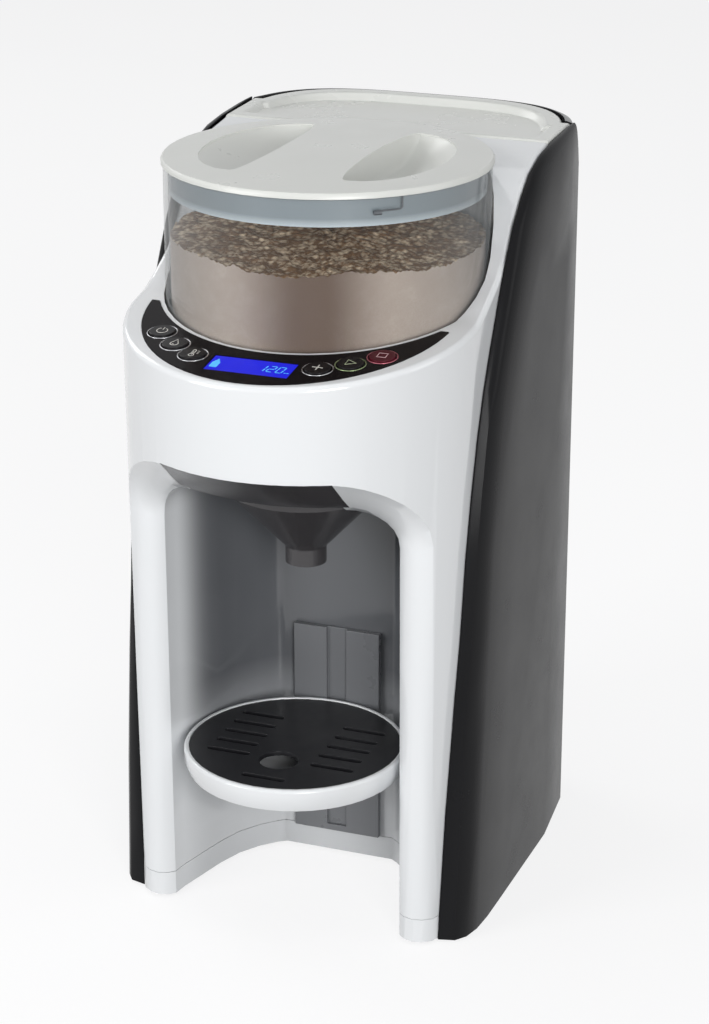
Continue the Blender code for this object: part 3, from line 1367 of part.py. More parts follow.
def funnel():
    """Drawer flush with the shell's lip, with a cone and a spout below it."""
    low = BAY_CEILING + SHELL_WALL + GAP
    front = FRONT_AXIS_Y - 2 * SHELL_FOOT_RADIUS
    body = block("funnel", (-FUNNEL_HALF_WIDTH, front, low),
                 (FUNNEL_HALF_WIDTH, FUNNEL_BACK, FUNNEL_TOP))
    skin = shell_foot("funnel_skin", 0.0, BAY_CEILING - CUT_OVERRUN, PANEL_FRONT_Z, SHELL_REAR)
    keep_common(body, skin)
    cut(body, bay_solid("funnel_bay"))
    cone = turned("cone_outer", [
        (0.0, low + FUNNEL_WALL / 2), (FUNNEL_CONE_RADIUS, low + FUNNEL_WALL / 2),
        (FUNNEL_CONE_RADIUS, FUNNEL_CONE_TOP), (SPOUT_RADIUS, SPOUT_TOP),
        (SPOUT_RADIUS, SPOUT_BOTTOM), (0.0, SPOUT_BOTTOM),
    ], y=FUNNEL_AXIS_Y, steps=36)
    fuse(body, cone)
    inner = FUNNEL_CONE_RADIUS - FUNNEL_WALL
    bore = SPOUT_RADIUS - FUNNEL_WALL
    hollow = turned("cone_inner", [
        (0.0, FUNNEL_TOP), (inner, FUNNEL_TOP), (inner, FUNNEL_CONE_TOP + FUNNEL_WALL / 2),
        (bore, SPOUT_TOP + FUNNEL_WALL / 2), (bore, SPOUT_BOTTOM - CUT_OVERRUN),
        (0.0, SPOUT_BOTTOM - CUT_OVERRUN),
    ], y=FUNNEL_AXIS_Y, steps=36)
    room = extruded("funnel_room", funnel_room_outline(FUNNEL_WALL), low + FUNNEL_WALL,
                    FUNNEL_TOP + CUT_OVERRUN)
    cut(body, room, hollow)
    return dress(body, "smoke")


def funnel_room_outline(margin):
    """Plan of the drawer's inside: round in front like the shell, square behind."""
    half = FUNNEL_HALF_WIDTH - margin
    radius = SHELL_FOOT_RADIUS - FUNNEL_FRONT_DEPTH - margin
    reach = math.asin(half / radius)
    steps = 12
    points = []
    for step in range(steps + 1):
        angle = -reach + 2 * reach * step / steps
        points.append((radius * math.sin(angle), FRONT_AXIS_Y - radius * math.cos(angle)))
    back = FUNNEL_BACK - margin
    return points + [(half, back), (-half, back)]


def funnel_cover():
    """Flat cover inside the drawer's rim, with a way for the powder and one for the water."""
    cover = extruded("funnel_cover", funnel_room_outline(FUNNEL_WALL + GAP),
                     FUNNEL_TOP - GAP - COVER_WALL, FUNNEL_TOP - GAP)
    cut(cover, cylinder("powder_way", OUTLET_RADIUS + CHUTE_WALL, FUNNEL_TOP - CUT_OVERRUN,
                        FUNNEL_TOP + CUT_OVERRUN, y=FUNNEL_AXIS_Y, steps=24))
    cut(cover, cylinder("water_way", NOZZLE_RADIUS, FUNNEL_TOP - CUT_OVERRUN,
                        FUNNEL_TOP + CUT_OVERRUN, NOZZLE_X, FUNNEL_AXIS_Y, steps=16))
    return dress(cover, "smoke")


def tray():
    """Round drip tray with a tapered bowl and a seat for the grille."""
    low = TRAY_TOP - TRAY_HEIGHT
    seat = TRAY_TOP - TRAY_RIM_RISE - GRILLE_THICKNESS - GAP
    bowl = turned("tray", [
        (0.0, low + TRAY_WALL), (TRAY_FOOT_RADIUS, low + TRAY_WALL),
        (GRILLE_RADIUS - TRAY_WALL, seat), (GRILLE_RADIUS + GAP, seat),
        (GRILLE_RADIUS + GAP, TRAY_TOP), (TRAY_RADIUS - TRAY_WALL / 2, TRAY_TOP),
        (TRAY_RADIUS, TRAY_TOP - TRAY_WALL / 2), (TRAY_RADIUS, TRAY_TOP - TRAY_HEIGHT * 0.45),
        (TRAY_RADIUS - TRAY_WALL, low + TRAY_WALL), (TRAY_FOOT_RADIUS, low), (0.0, low),
    ], y=TRAY_AXIS_Y)
    return dress(bowl, "white_shell")


def tray_grille():
    """Dark plate with rows of slots beside the bottle's place and a finger hole in front."""
    top = TRAY_TOP - TRAY_RIM_RISE
    low = top - GRILLE_THICKNESS
    grille = cylinder("tray_grille", GRILLE_RADIUS, low, top, y=TRAY_AXIS_Y, steps=ROUND_STEPS)
    slots = []
    for row in range(GRILLE_SLOTS):
        y = TRAY_AXIS_Y + GRILLE_FIRST_ROW + GRILLE_SLOT_PITCH * row
        for side in (-1, 1):
            slots.append((side * GRILLE_SLOT_OFFSET, y, GRILLE_SLOT_LENGTH / 2))
    slots.append((0.0, TRAY_AXIS_Y + GRILLE_FRONT_SLOT, GRILLE_SLOT_LENGTH / 2))
    for x, y, half in slots:
        cut(grille, round_slot("slot", x, y, half, low - CUT_OVERRUN, top + CUT_OVERRUN))
    cut(grille, cylinder("finger_hole", FINGER_HOLE_RADIUS, low - CUT_OVERRUN, top + CUT_OVERRUN,
                         y=TRAY_AXIS_Y + FINGER_HOLE_OFFSET, steps=24))
    return dress(grille, "grille_black")


def round_slot(name, x, y, half, low, top):
    radius = GRILLE_SLOT_WIDTH / 2
    points = []
    for side, start in ((1, -math.pi / 2), (-1, math.pi / 2)):
        for step in range(5):
            angle = start + math.pi * step / 4
            points.append((x + side * (half - radius) + radius * math.cos(angle),
                           y + radius * math.sin(angle)))
    return extruded(name, points, low, top)


def tray_bracket():
    """Bracket under the tray, with a tongue that runs in the rear track."""
    top = TRAY_TOP - TRAY_HEIGHT - GAP
    track_front = BAY_BACK - GAP - TRACK_DEPTH
    bracket = extruded_across("bracket_side", [
        (TRAY_AXIS_Y + BRACKET_START, top), (TRAY_AXIS_Y + BRACKET_START, top - BRACKET_TIP),
        (track_front - GAP, top - BRACKET_HEIGHT), (track_front - GAP, top),
    ], -BRACKET_HALF, BRACKET_HALF)
    bracket.name = "tray_bracket"
    fuse(bracket, block("tongue", (-TONGUE_HALF, track_front - BRACKET_TIP, top - BRACKET_HEIGHT),
                        (TONGUE_HALF, BAY_BACK - GAP - TRACK_BACKING - GAP, top)))
    return dress(bracket, "white_shell")


def tray_track():
    """Track on the bay's rear wall that the tray's bracket climbs."""
    front = BAY_BACK - GAP - TRACK_DEPTH
    back = BAY_BACK - GAP
    track = block("tray_track", (-TRACK_HALF_WIDTH, front, TRACK_BOTTOM),
                  (TRACK_HALF_WIDTH, back, TRACK_TOP))
    cut(track, block("track_slot", (-TONGUE_HALF - GAP, front - CUT_OVERRUN, TRACK_BOTTOM + TRACK_DEPTH),
                     (TONGUE_HALF + GAP, back - TRACK_BACKING, TRACK_TOP + CUT_OVERRUN)))
    return dress(track, "white_satin")


def water_parts():
    floor = SKIRT_LIFT + SKIRT_FLOOR + GAP
    pump = turned("pump", [
        (0.0, floor + PUMP_LENGTH), (PUMP_RADIUS * 0.55, floor + PUMP_LENGTH),
        (PUMP_RADIUS * 0.55, floor + PUMP_LENGTH * 0.85), (PUMP_RADIUS, floor + PUMP_LENGTH * 0.8),
        (PUMP_RADIUS, floor), (0.0, floor),
    ], x=PUMP_X, y=WATER_Y, steps=24)
    dress(pump, "motor_can")
    heater = turned("heater", [
        (0.0, floor + HEATER_LENGTH), (HEATER_RADIUS * 0.4, floor + HEATER_LENGTH),
        (HEATER_RADIUS, floor + HEATER_LENGTH * 0.93), (HEATER_RADIUS, floor), (0.0, floor),
    ], x=HEATER_X, y=WATER_Y, steps=24)
    dress(heater, "steel")
    hose_z = HOSE_RUN_Z
    routes = {
        "supply_hose": [
            (0.0, VALVE_Y - VALVE_RADIUS - GAP * 2, SUPPLY_Z), (0.0, WATER_Y, SUPPLY_Z),
            (PUMP_X + PUMP_RADIUS + GAP, WATER_Y, SUPPLY_Z),
        ],
        "pump_hose": [
            (PUMP_X, WATER_Y, floor + PUMP_LENGTH + GAP), (PUMP_X, WATER_Y, PUMP_HOSE_TOP),
            (PUMP_HOSE_X, WATER_Y, PUMP_HOSE_TOP), (PUMP_HOSE_X, WATER_Y, HEATER_INLET_Z),
            (HEATER_X - HEATER_RADIUS - GAP, WATER_Y, HEATER_INLET_Z),
        ],
        "nozzle_hose": [
            (HEATER_X, WATER_Y, floor + HEATER_LENGTH + GAP), (HEATER_X, WATER_Y, hose_z),
            (HEATER_X, FUNNEL_AXIS_Y, hose_z), (NOZZLE_X + NOZZLE_RADIUS + GAP, FUNNEL_AXIS_Y, hose_z),
        ],
    }
    for name, route in routes.items():
        dress(tube(name, rounded_route(route, HOSE_BEND), HOSE_RADIUS, 2), "silicone")
    nozzle = turned("water_nozzle", [
        (0.0, WELL_FLOOR - WELL_FLOOR_WALL - GAP),
        (NOZZLE_RADIUS, WELL_FLOOR - WELL_FLOOR_WALL - GAP), (NOZZLE_RADIUS, hose_z - HOSE_RADIUS * 2),
        (NOZZLE_TIP, FUNNEL_TOP + 2 * GAP), (0.0, FUNNEL_TOP + 2 * GAP),
    ], x=NOZZLE_X, y=FUNNEL_AXIS_Y, steps=16)
    dress(nozzle, "acetal")


def boards():
    back = SHELL_REAR - GAP - BULKHEAD_WALL - GAP
    for name, low, high, half in (
        ("power_board", POWER_BOARD_LOW, POWER_BOARD_HIGH, POWER_BOARD_HALF),
        ("main_board", MAIN_BOARD_LOW, MAIN_BOARD_HIGH, MAIN_BOARD_HALF),
    ):
        board = block(name, (-half, back - BOARD_THICKNESS, low), (half, back, high))
        for share_x, share_z, width, depth in BOARD_PART_SHARES:
            x, z = half * share_x, low + (high - low) * share_z
            size = half * width
            fuse(board, block(
                "board_part", (x - size, back - BOARD_THICKNESS - BOARD_PART_DEPTH * depth, z - size),
                (x + size, back - BOARD_THICKNESS / 2, z + size)))
        dress(board, "board_green")


def feet():
    for name, x, y in (
        ("front_left_foot", -FOOT_FRONT_X, FOOT_FRONT_Y), ("front_right_foot", FOOT_FRONT_X, FOOT_FRONT_Y),
        ("rear_left_foot", -FOOT_REAR_X, FOOT_REAR_Y), ("rear_right_foot", FOOT_REAR_X, FOOT_REAR_Y),
    ):
        dress(cylinder(name, FOOT_RADIUS, 0.0, SKIRT_LIFT - GAP, x, y, steps=24), "rubber")


def main():
    clear_scene()
    make_collections()
    front_shell()
    base_skirt()
    rear_base()
    rear_bulkhead()
    side_panel("right_side_panel", 1)
    side_panel("left_side_panel", -1)
    cord_inlet()
    feet()
    water_tank()
    tank_lid()
    tank_valve()
    valve_spring()
    valve_cage()
    valve_socket()
    hopper_container()
    hopper_lid()
    powder_wheel()
    stirrer()
    gears()
    drive_parts()
    powder_chute()
    control_panel()
    display_screen()
    display_board()
    keys()
    funnel()
    funnel_cover()
    tray()
    tray_grille()
    tray_bracket()
    tray_track()
    water_parts()
    boards()


main()
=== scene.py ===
"""Dressed model of a baby formula maker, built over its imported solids."""
import math

import bpy
from mathutils import Matrix, Vector
from mathutils import noise as field


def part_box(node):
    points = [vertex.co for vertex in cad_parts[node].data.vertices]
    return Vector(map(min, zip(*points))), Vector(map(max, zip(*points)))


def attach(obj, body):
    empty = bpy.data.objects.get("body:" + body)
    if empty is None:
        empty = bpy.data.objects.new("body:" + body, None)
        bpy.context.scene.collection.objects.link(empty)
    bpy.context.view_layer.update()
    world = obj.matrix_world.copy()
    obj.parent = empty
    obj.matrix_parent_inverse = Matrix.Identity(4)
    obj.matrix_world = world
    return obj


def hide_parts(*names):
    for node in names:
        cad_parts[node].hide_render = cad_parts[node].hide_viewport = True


bl_info = {
    "name": "Formula Maker",
    "version": (1, 0, 0),
    "blender": (4, 5, 0),
    "location": "3D View > Sidebar > Maker",
    "description": "Builds the looks of a baby formula maker over its solids",
    "category": "Object",
}

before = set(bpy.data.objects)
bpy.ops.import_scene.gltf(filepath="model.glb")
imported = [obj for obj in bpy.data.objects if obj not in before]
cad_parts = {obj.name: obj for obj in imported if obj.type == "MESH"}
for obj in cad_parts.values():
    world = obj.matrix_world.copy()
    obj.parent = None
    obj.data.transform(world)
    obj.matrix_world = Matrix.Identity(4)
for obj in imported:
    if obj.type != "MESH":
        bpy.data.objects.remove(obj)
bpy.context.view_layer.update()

# Heights and axes of the solids that the added pieces sit on
HOPPER_Y = -0.018
FRONT_Y = -0.049
PANEL_FRONT = -0.1355
PANEL_Z = 0.299
PANEL_SLOPE = 0.145
PLATE_PROUD = 0.0004
KEY_TOP = 0.0013
SCREEN_TOP = 0.0001
KEYS = ("power", "water", "temperature", "amount", "start", "stop")
KEY_ANGLES = (-37.2, -27.6, -18.6, 18.6, 27.6, 37.2)
KEY_REACH = (0.0914, 0.0944, 0.0972, 0.0972, 0.0944, 0.0914)
LID_BAND_TOP = 0.3772
LID_BAND_REACH = 0.070
CONTAINER_SKIN = 0.07905
POWDER_RADIUS = 0.0761
DISPLAY_Y = -0.115

# The bottle bay: radii between which its wall falls to a painted shade, and the heights of that
# painted shade
BAY_OUTER = 0.064
BAY_INNER = 0.0525
BAY_TOP = 0.258
BAY_SHADE_LOW = 0.03
BAY_SHADE_HIGH = 0.11
BAY_SHADE_TONE = (0.115, 0.12, 0.13)

# Layout of the display, from its middle
DIGIT_START = 0.0040
DIGIT_FOOT = -0.0030
DIGIT_STEP = 0.78
DIGIT_LEAN = 0.16
UNIT_PLACES = (0.0178, 0.0192)
UNIT_WIDTH = 0.0010
UNIT_FOOT = -0.0026
BOTTLE_X = -0.0172

# Camera
CAMERA_PLACE = (0.472899, -1.217602, 0.680861)
CAMERA_DOWN = 20.558
CAMERA_ROUND = 20.948
CAMERA_LENS = 96.64

# Degrees: edges sharper than the first are softened, faces flatter than the second are joined
SHARP_EDGE = 40.0
FLAT_FACE = 0.4


# Selection and mesh helpers


def only(*objs):
    if bpy.context.mode != "OBJECT":
        bpy.ops.object.mode_set(mode="OBJECT")
    bpy.ops.object.select_all(action="DESELECT")
    for obj in objs:
        obj.select_set(True)
    bpy.context.view_layer.objects.active = objs[0]


def named(name):
    obj = bpy.context.active_object
    obj.name = name
    obj.data.name = name
    return obj


def settle(obj):
    """Put the piece's place into its mesh, so its object sits at the origin."""
    only(obj)
    bpy.ops.object.transform_apply(location=True, rotation=True, scale=True)
    return obj


def put(obj, matrix):
    obj.matrix_world = matrix
    return settle(obj)


def smooth(obj, angle=35.0):
    only(obj)
    bpy.ops.object.shade_smooth_by_angle(angle=math.radians(angle))
    return obj


def apply_all(obj):
    only(obj)
    for modifier in list(obj.modifiers):
        bpy.ops.object.modifier_apply(modifier=modifier.name)
    return obj


def bevelled(obj, width, segments):
    bevel = obj.modifiers.new("edges", "BEVEL")
    bevel.width = width
    bevel.segments = segments
    bevel.limit_method = "ANGLE"
    bevel.angle_limit = math.radians(SHARP_EDGE)
    bevel.harden_normals = False
    return apply_all(obj)


def joined(name, objs):
    only(*objs)
    bpy.ops.object.join()
    return named(name)


def twin(obj, name, matrix):
    """A copy with its own mesh, moved by a matrix."""
    only(obj)
    bpy.ops.object.duplicate(linked=False)
    copy = named(name)
    copy.data.transform(matrix)
    return copy


def finish_piece(obj, body, material, *nodes, slot=None):
    if material is not None:
        obj.data.materials.clear()
        obj.data.materials.append(material)
    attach(obj, body)
    if nodes:
        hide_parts(*nodes)
    return obj


def skin_of(node, name, width, segments=2, smooth_angle=32.0):
    """A merged copy of a solid's mesh with softened edges and smooth shading."""
    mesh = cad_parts[node].data.copy()
    obj = bpy.data.objects.new(name, mesh)
    bpy.context.scene.collection.objects.link(obj)
    only(obj)
    bpy.ops.object.mode_set(mode="EDIT")
    bpy.ops.mesh.select_all(action="SELECT")
    bpy.ops.mesh.remove_doubles(threshold=1e-5)
    bpy.ops.mesh.dissolve_limited(angle_limit=math.radians(FLAT_FACE))
    bpy.ops.object.mode_set(mode="OBJECT")
    bevelled(obj, width, segments)
    smooth(obj, smooth_angle)
    weights = obj.modifiers.new("weights", "WEIGHTED_NORMAL")
    weights.keep_sharp = True
    return apply_all(obj)


def panel_height(y):
    return PANEL_Z + PANEL_SLOPE * (y - PANEL_FRONT)


def on_panel(x, y, above, turn=0.0):
    """Place and tilt of a piece that lies on the sloping control panel."""
    lift = Matrix.Translation((x, y, panel_height(y)))
    tilt = Matrix.Rotation(math.atan(PANEL_SLOPE), 4, "X")
    return lift @ tilt @ Matrix.Translation((0, 0, above)) @ Matrix.Rotation(turn, 4, "Z")


def key_place(index):
    turn = math.radians(KEY_ANGLES[index])
    reach = KEY_REACH[index]
    return reach * math.sin(turn), HOPPER_Y - reach * math.cos(turn)


def wire(name, points, width, steps, cyclic=False):
    """A line of round section through the points, made a mesh."""
    curve = bpy.data.curves.new(name, "CURVE")
    curve.dimensions = "3D"
    curve.bevel_depth = width / 2
    curve.bevel_resolution = steps
    curve.use_fill_caps = True
    spline = curve.splines.new("POLY")
    spline.points.add(len(points) - 1)
    for point, place in zip(spline.points, points):
        point.co = (*place, 1.0)
    spline.use_cyclic_u = cyclic
    obj = bpy.data.objects.new(name, curve)
    bpy.context.scene.collection.objects.link(obj)
    only(obj)
    bpy.ops.object.convert(target="MESH")
    return named(name)


def stroke(name, points, width, cyclic=False, flatten=0.35):
    """A line drawn on a level face, pressed flat."""
    obj = wire(name, [(x, y, 0.0) for x, y in points], width, 2, cyclic)
    obj.scale = (1, 1, flatten)
    return settle(obj)


def plate(name, outline, thickness):
    """A flat plate of the given outline."""
    bpy.ops.object.select_all(action="DESELECT")
    mesh = bpy.data.meshes.new(name)
    mesh.from_pydata([(x, y, 0.0) for x, y in outline], [], [tuple(range(len(outline)))])
    obj = bpy.data.objects.new(name, mesh)
    bpy.context.scene.collection.objects.link(obj)
    only(obj)
    bpy.ops.object.mode_set(mode="EDIT")
    bpy.ops.mesh.select_all(action="SELECT")
    bpy.ops.mesh.extrude_region_move(TRANSFORM_OT_translate={"value": (0, 0, thickness)})
    bpy.ops.mesh.select_all(action="SELECT")
    bpy.ops.mesh.normals_make_consistent(inside=False)
    bpy.ops.object.mode_set(mode="OBJECT")
    return obj


def arc(radius, start, end, steps, x=0.0, y=0.0):
    points = []
    for i in range(steps + 1):
        angle = math.radians(start + (end - start) * i / steps)
        points.append((x + radius * math.cos(angle), y + radius * math.sin(angle)))
    return points


# Materials


def group_tree(name, inputs, outputs):
    tree = bpy.data.node_groups.new(name, "ShaderNodeTree")
    for label, kind, value in inputs:
        socket = tree.interface.new_socket(label, in_out="INPUT", socket_type=kind)
        socket.default_value = value
    for label, kind in outputs:
        tree.interface.new_socket(label, in_out="OUTPUT", socket_type=kind)
    return tree, tree.nodes.new("NodeGroupInput"), tree.nodes.new("NodeGroupOutput")


def noise(tree, coords, scale, detail=3.0, roughness=0.5):
    node = tree.nodes.new("ShaderNodeTexNoise")
    node.inputs["Scale"].default_value = scale
    node.inputs["Detail"].default_value = detail
    node.inputs["Roughness"].default_value = roughness
    tree.links.new(coords, node.inputs["Vector"])
    return node


def remap(tree, value, low, high, start=0.3, end=0.7, smoothed=False):
    """A value from between start and end, moved to between low and high."""
    node = tree.nodes.new("ShaderNodeMapRange")
    if smoothed:
        node.interpolation_type = "SMOOTHSTEP"
    tree.links.new(value, node.inputs["Value"])
    for socket, source in (("From Min", start), ("From Max", end), ("To Min", low),
                           ("To Max", high)):
        if isinstance(source, float):
            node.inputs[socket].default_value = source
        else:
            tree.links.new(source, node.inputs[socket])
    return node.outputs["Result"]


def times(tree, first, second):
    product = tree.nodes.new("ShaderNodeMath")
    product.operation = "MULTIPLY"
    tree.links.new(first, product.inputs[0])
    if isinstance(second, float):
        product.inputs[1].default_value = second
    else:
        tree.links.new(second, product.inputs[1])
    return product.outputs[0]


def mixed(tree, share, first, second):
    """The first colour where the share is 0, and the second where it is 1."""
    mix = tree.nodes.new("ShaderNodeMix")
    mix.data_type = "RGBA"
    tree.links.new(share, mix.inputs["Factor"])
    for socket, source in (("A", first), ("B", second)):
        if isinstance(source, tuple):
            mix.inputs[socket].default_value = (*source, 1.0)
        else:
            tree.links.new(source, mix.inputs[socket])
    return mix.outputs["Result"]


def place_of(tree):
    return tree.nodes.new("ShaderNodeTexCoord").outputs["Object"]


def split(tree, place):
    parts = tree.nodes.new("ShaderNodeSeparateXYZ")
    tree.links.new(place, parts.inputs["Vector"])
    return parts.outputs


def recoloured(material, share, colour):
    """Lay another colour over a finish, by a share from 0 to 1."""
    tree = material.node_tree
    shader = tree.nodes["Principled BSDF"]
    before = shader.inputs["Base Color"].links[0].from_socket
    tree.links.new(mixed(tree, share, before, colour), shader.inputs["Base Color"])
    return material


def moulded_surface():
    """Fine variation that every moulded plastic shows: colour, gloss and a slight ripple."""
    if "moulded surface" in bpy.data.node_groups:
        return bpy.data.node_groups["moulded surface"]
    tree, start, end = group_tree(
        "moulded surface",
        [("Colour", "NodeSocketColor", (0.8, 0.8, 0.8, 1.0)),
         ("Tint", "NodeSocketColor", (0.7, 0.7, 0.7, 1.0)),
         ("Tint Share", "NodeSocketFloat", 0.1), ("Gloss Low", "NodeSocketFloat", 0.1),
         ("Gloss High", "NodeSocketFloat", 0.2), ("Grain Scale", "NodeSocketFloat", 900.0),
         ("Ripple", "NodeSocketFloat", 0.3)],
        [("Colour", "NodeSocketColor"), ("Roughness", "NodeSocketFloat"),
         ("Height", "NodeSocketFloat")],
    )
    place = place_of(tree)
    broad = noise(tree, place, 9.0)
    smudge = noise(tree, place, 34.0, 5.0, 0.6)
    grain = noise(tree, place, 900.0, 2.0)
    tree.links.new(start.outputs["Grain Scale"], grain.inputs["Scale"])
    share = times(tree, broad.outputs["Fac"], start.outputs["Tint Share"])
    colour = mixed(tree, share, start.outputs["Colour"], start.outputs["Tint"])
    tree.links.new(colour, end.inputs["Colour"])
    gloss = remap(tree, smudge.outputs["Fac"], start.outputs["Gloss Low"],
                  start.outputs["Gloss High"])
    tree.links.new(gloss, end.inputs["Roughness"])
    ripple = times(tree, broad.outputs["Fac"], start.outputs["Ripple"])
    total = tree.nodes.new("ShaderNodeMath")
    total.operation = "ADD"
    tree.links.new(ripple, total.inputs[0])
    tree.links.new(grain.outputs["Fac"], total.inputs[1])
    tree.links.new(total.outputs[0], end.inputs["Height"])
    return tree


def paint_highlight_towards(material, colour, start, end):
    """Paint a highlight over a finish: another colour, from none at one height to all at another.
    """
    tree = material.node_tree
    height = split(tree, place_of(tree))["Z"]
    return recoloured(material, remap(tree, height, 0.0, 1.0, start, end), colour)


def bay_shade():
    """Painted shade in the bottle bay, by how deep a point lies: 0 on the outer skin, 1 at the
    rear wall, less near the floor.
    """
    if "bay shade" in bpy.data.node_groups:
        return bpy.data.node_groups["bay shade"]
    tree, start, end = group_tree(
        "bay shade",
        [("Outer", "NodeSocketFloat", BAY_OUTER), ("Inner", "NodeSocketFloat", BAY_INNER)],
        [("Depth", "NodeSocketFloat")],
    )
    place = place_of(tree)
    apart = tree.nodes.new("ShaderNodeVectorMath")
    apart.operation = "SUBTRACT"
    apart.inputs[1].default_value = (0.0, FRONT_Y, 0.0)
    tree.links.new(place, apart.inputs[0])
    level = tree.nodes.new("ShaderNodeVectorMath")
    level.operation = "MULTIPLY"
    level.inputs[1].default_value = (1.0, 1.0, 0.0)
    tree.links.new(apart.outputs["Vector"], level.inputs[0])
    reach = tree.nodes.new("ShaderNodeVectorMath")
    reach.operation = "LENGTH"
    tree.links.new(level.outputs["Vector"], reach.inputs[0])
    share = remap(tree, reach.outputs["Value"], 0.0, 1.0, start.outputs["Outer"],
                  start.outputs["Inner"], smoothed=True)
    height = split(tree, place)["Z"]
    below = tree.nodes.new("ShaderNodeMath")
    below.operation = "LESS_THAN"
    below.inputs[1].default_value = BAY_TOP
    tree.links.new(height, below.inputs[0])
    rise = remap(tree, height, 0.25, 1.0, BAY_SHADE_LOW, BAY_SHADE_HIGH)
    depth = times(tree, times(tree, share, below.outputs[0]), rise)
    tree.links.new(depth, end.inputs["Depth"])
    return tree


def with_painted_bay_shade(material):
    """Paint shade on a white finish: a cooler, darker tone inside the bottle bay."""
    depth = material.node_tree.nodes.new("ShaderNodeGroup")
    depth.node_tree = bay_shade()
    return recoloured(material, depth.outputs["Depth"], BAY_SHADE_TONE)


def scatter():
    """Loose grains: two colours in speckles of two sizes, and the relief that they make."""
    if "loose grains" in bpy.data.node_groups:
        return bpy.data.node_groups["loose grains"]
    tree, start, end = group_tree(
        "loose grains",
        [("Pale", "NodeSocketColor", (0.6, 0.5, 0.4, 1.0)),
         ("Dark", "NodeSocketColor", (0.3, 0.2, 0.1, 1.0)),
         ("Grain Scale", "NodeSocketFloat", 420.0)],
        [("Colour", "NodeSocketColor"), ("Height", "NodeSocketFloat")],
    )
    place = place_of(tree)
    cells = tree.nodes.new("ShaderNodeTexVoronoi")
    tree.links.new(place, cells.inputs["Vector"])
    tree.links.new(start.outputs["Grain Scale"], cells.inputs["Scale"])
    clumps = noise(tree, place, 120.0, 4.0, 0.7)
    both = tree.nodes.new("ShaderNodeMath")
    both.operation = "MULTIPLY_ADD"
    both.inputs[1].default_value = 0.55
    tree.links.new(cells.outputs["Distance"], both.inputs[0])
    tree.links.new(clumps.outputs["Fac"], both.inputs[2])
    share = remap(tree, both.outputs[0], 0.0, 1.0, 0.55, 0.85)
    colour = mixed(tree, share, start.outputs["Pale"], start.outputs["Dark"])
    tree.links.new(colour, end.inputs["Colour"])
    tree.links.new(both.outputs[0], end.inputs["Height"])
    return tree


def base_material(name):
    material = bpy.data.materials.new(name)
    material.use_nodes = True
    return material, material.node_tree, material.node_tree.nodes["Principled BSDF"]


def add_bump(tree, shader, height, strength, distance):
    bump = tree.nodes.new("ShaderNodeBump")
    bump.inputs["Strength"].default_value = strength
    bump.inputs["Distance"].default_value = distance
    tree.links.new(height, bump.inputs["Height"])
    tree.links.new(bump.outputs["Normal"], shader.inputs["Normal"])


def plastic(name, colour, tint=None, share=0.15, gloss=(0.1, 0.2), grain=900.0, ripple=0.3,
            bump=0.02, distance=0.0002, coat=0.0, specular=0.5, metallic=0.0):
    """Moulded plastic, or a bare metal where metallic is 1."""
    material, tree, shader = base_material(name)
    surface = tree.nodes.new("ShaderNodeGroup")
    surface.node_tree = moulded_surface()
    tint = tint or tuple(c * 0.85 for c in colour)
    surface.inputs["Colour"].default_value = (*colour, 1.0)
    surface.inputs["Tint"].default_value = (*tint, 1.0)
    surface.inputs["Tint Share"].default_value = share
    surface.inputs["Gloss Low"].default_value = gloss[0]
    surface.inputs["Gloss High"].default_value = gloss[1]
    surface.inputs["Grain Scale"].default_value = grain
    surface.inputs["Ripple"].default_value = ripple
    tree.links.new(surface.outputs["Colour"], shader.inputs["Base Color"])
    tree.links.new(surface.outputs["Roughness"], shader.inputs["Roughness"])
    add_bump(tree, shader, surface.outputs["Height"], bump, distance)
    shader.inputs["Metallic"].default_value = metallic
    shader.inputs["Specular IOR Level"].default_value = specular
    shader.inputs["Coat Weight"].default_value = coat
    shader.inputs["Coat Roughness"].default_value = 0.04
    material.diffuse_color = (*colour, 1.0)
    return material


def see_through(name, colour, alpha, edge_alpha, gloss=(0.03, 0.07), specular=0.5):
    """Thin clear or smoke plastic: nearly open when seen square on, denser at a glance."""
    material = plastic(name, colour, gloss=gloss, bump=0.01, specular=specular)
    tree = material.node_tree
    shader = tree.nodes["Principled BSDF"]
    facing = tree.nodes.new("ShaderNodeLayerWeight")
    facing.inputs["Blend"].default_value = 0.35
    share = remap(tree, facing.outputs["Facing"], alpha, edge_alpha, 0.0, 1.0)
    tree.links.new(share, shader.inputs["Alpha"])
    return material


def lit(name, colour, strength, back=(0.01, 0.01, 0.02)):
    """Display parts that give their own light behind a gloss window."""
    material, tree, shader = base_material(name)
    patch = noise(tree, place_of(tree), 60.0)
    dimmer = tuple(c * 0.82 for c in colour)
    tree.links.new(mixed(tree, patch.outputs["Fac"], colour, dimmer),
                   shader.inputs["Emission Color"])
    shader.inputs["Emission Strength"].default_value = strength
    shader.inputs["Base Color"].default_value = (*back, 1.0)
    shader.inputs["Specular IOR Level"].default_value = 0.08
    shader.inputs["Roughness"].default_value = 0.08
    return material


def painted_shade_share(tree):
    """1 where the powder behind the wall is painted a darker brown shade, a soft upright zone in
    the middle.
    """
    parts = split(tree, place_of(tree))
    left = remap(tree, parts["X"], 0.0, 0.86, -0.026, 0.016, smoothed=True)
    right = remap(tree, parts["X"], 1.0, 0.0, 0.026, 0.058, smoothed=True)
    front = remap(tree, parts["Y"], 0.0, 1.0, -0.045, -0.072, smoothed=True)
    return times(tree, times(tree, left, right), front)


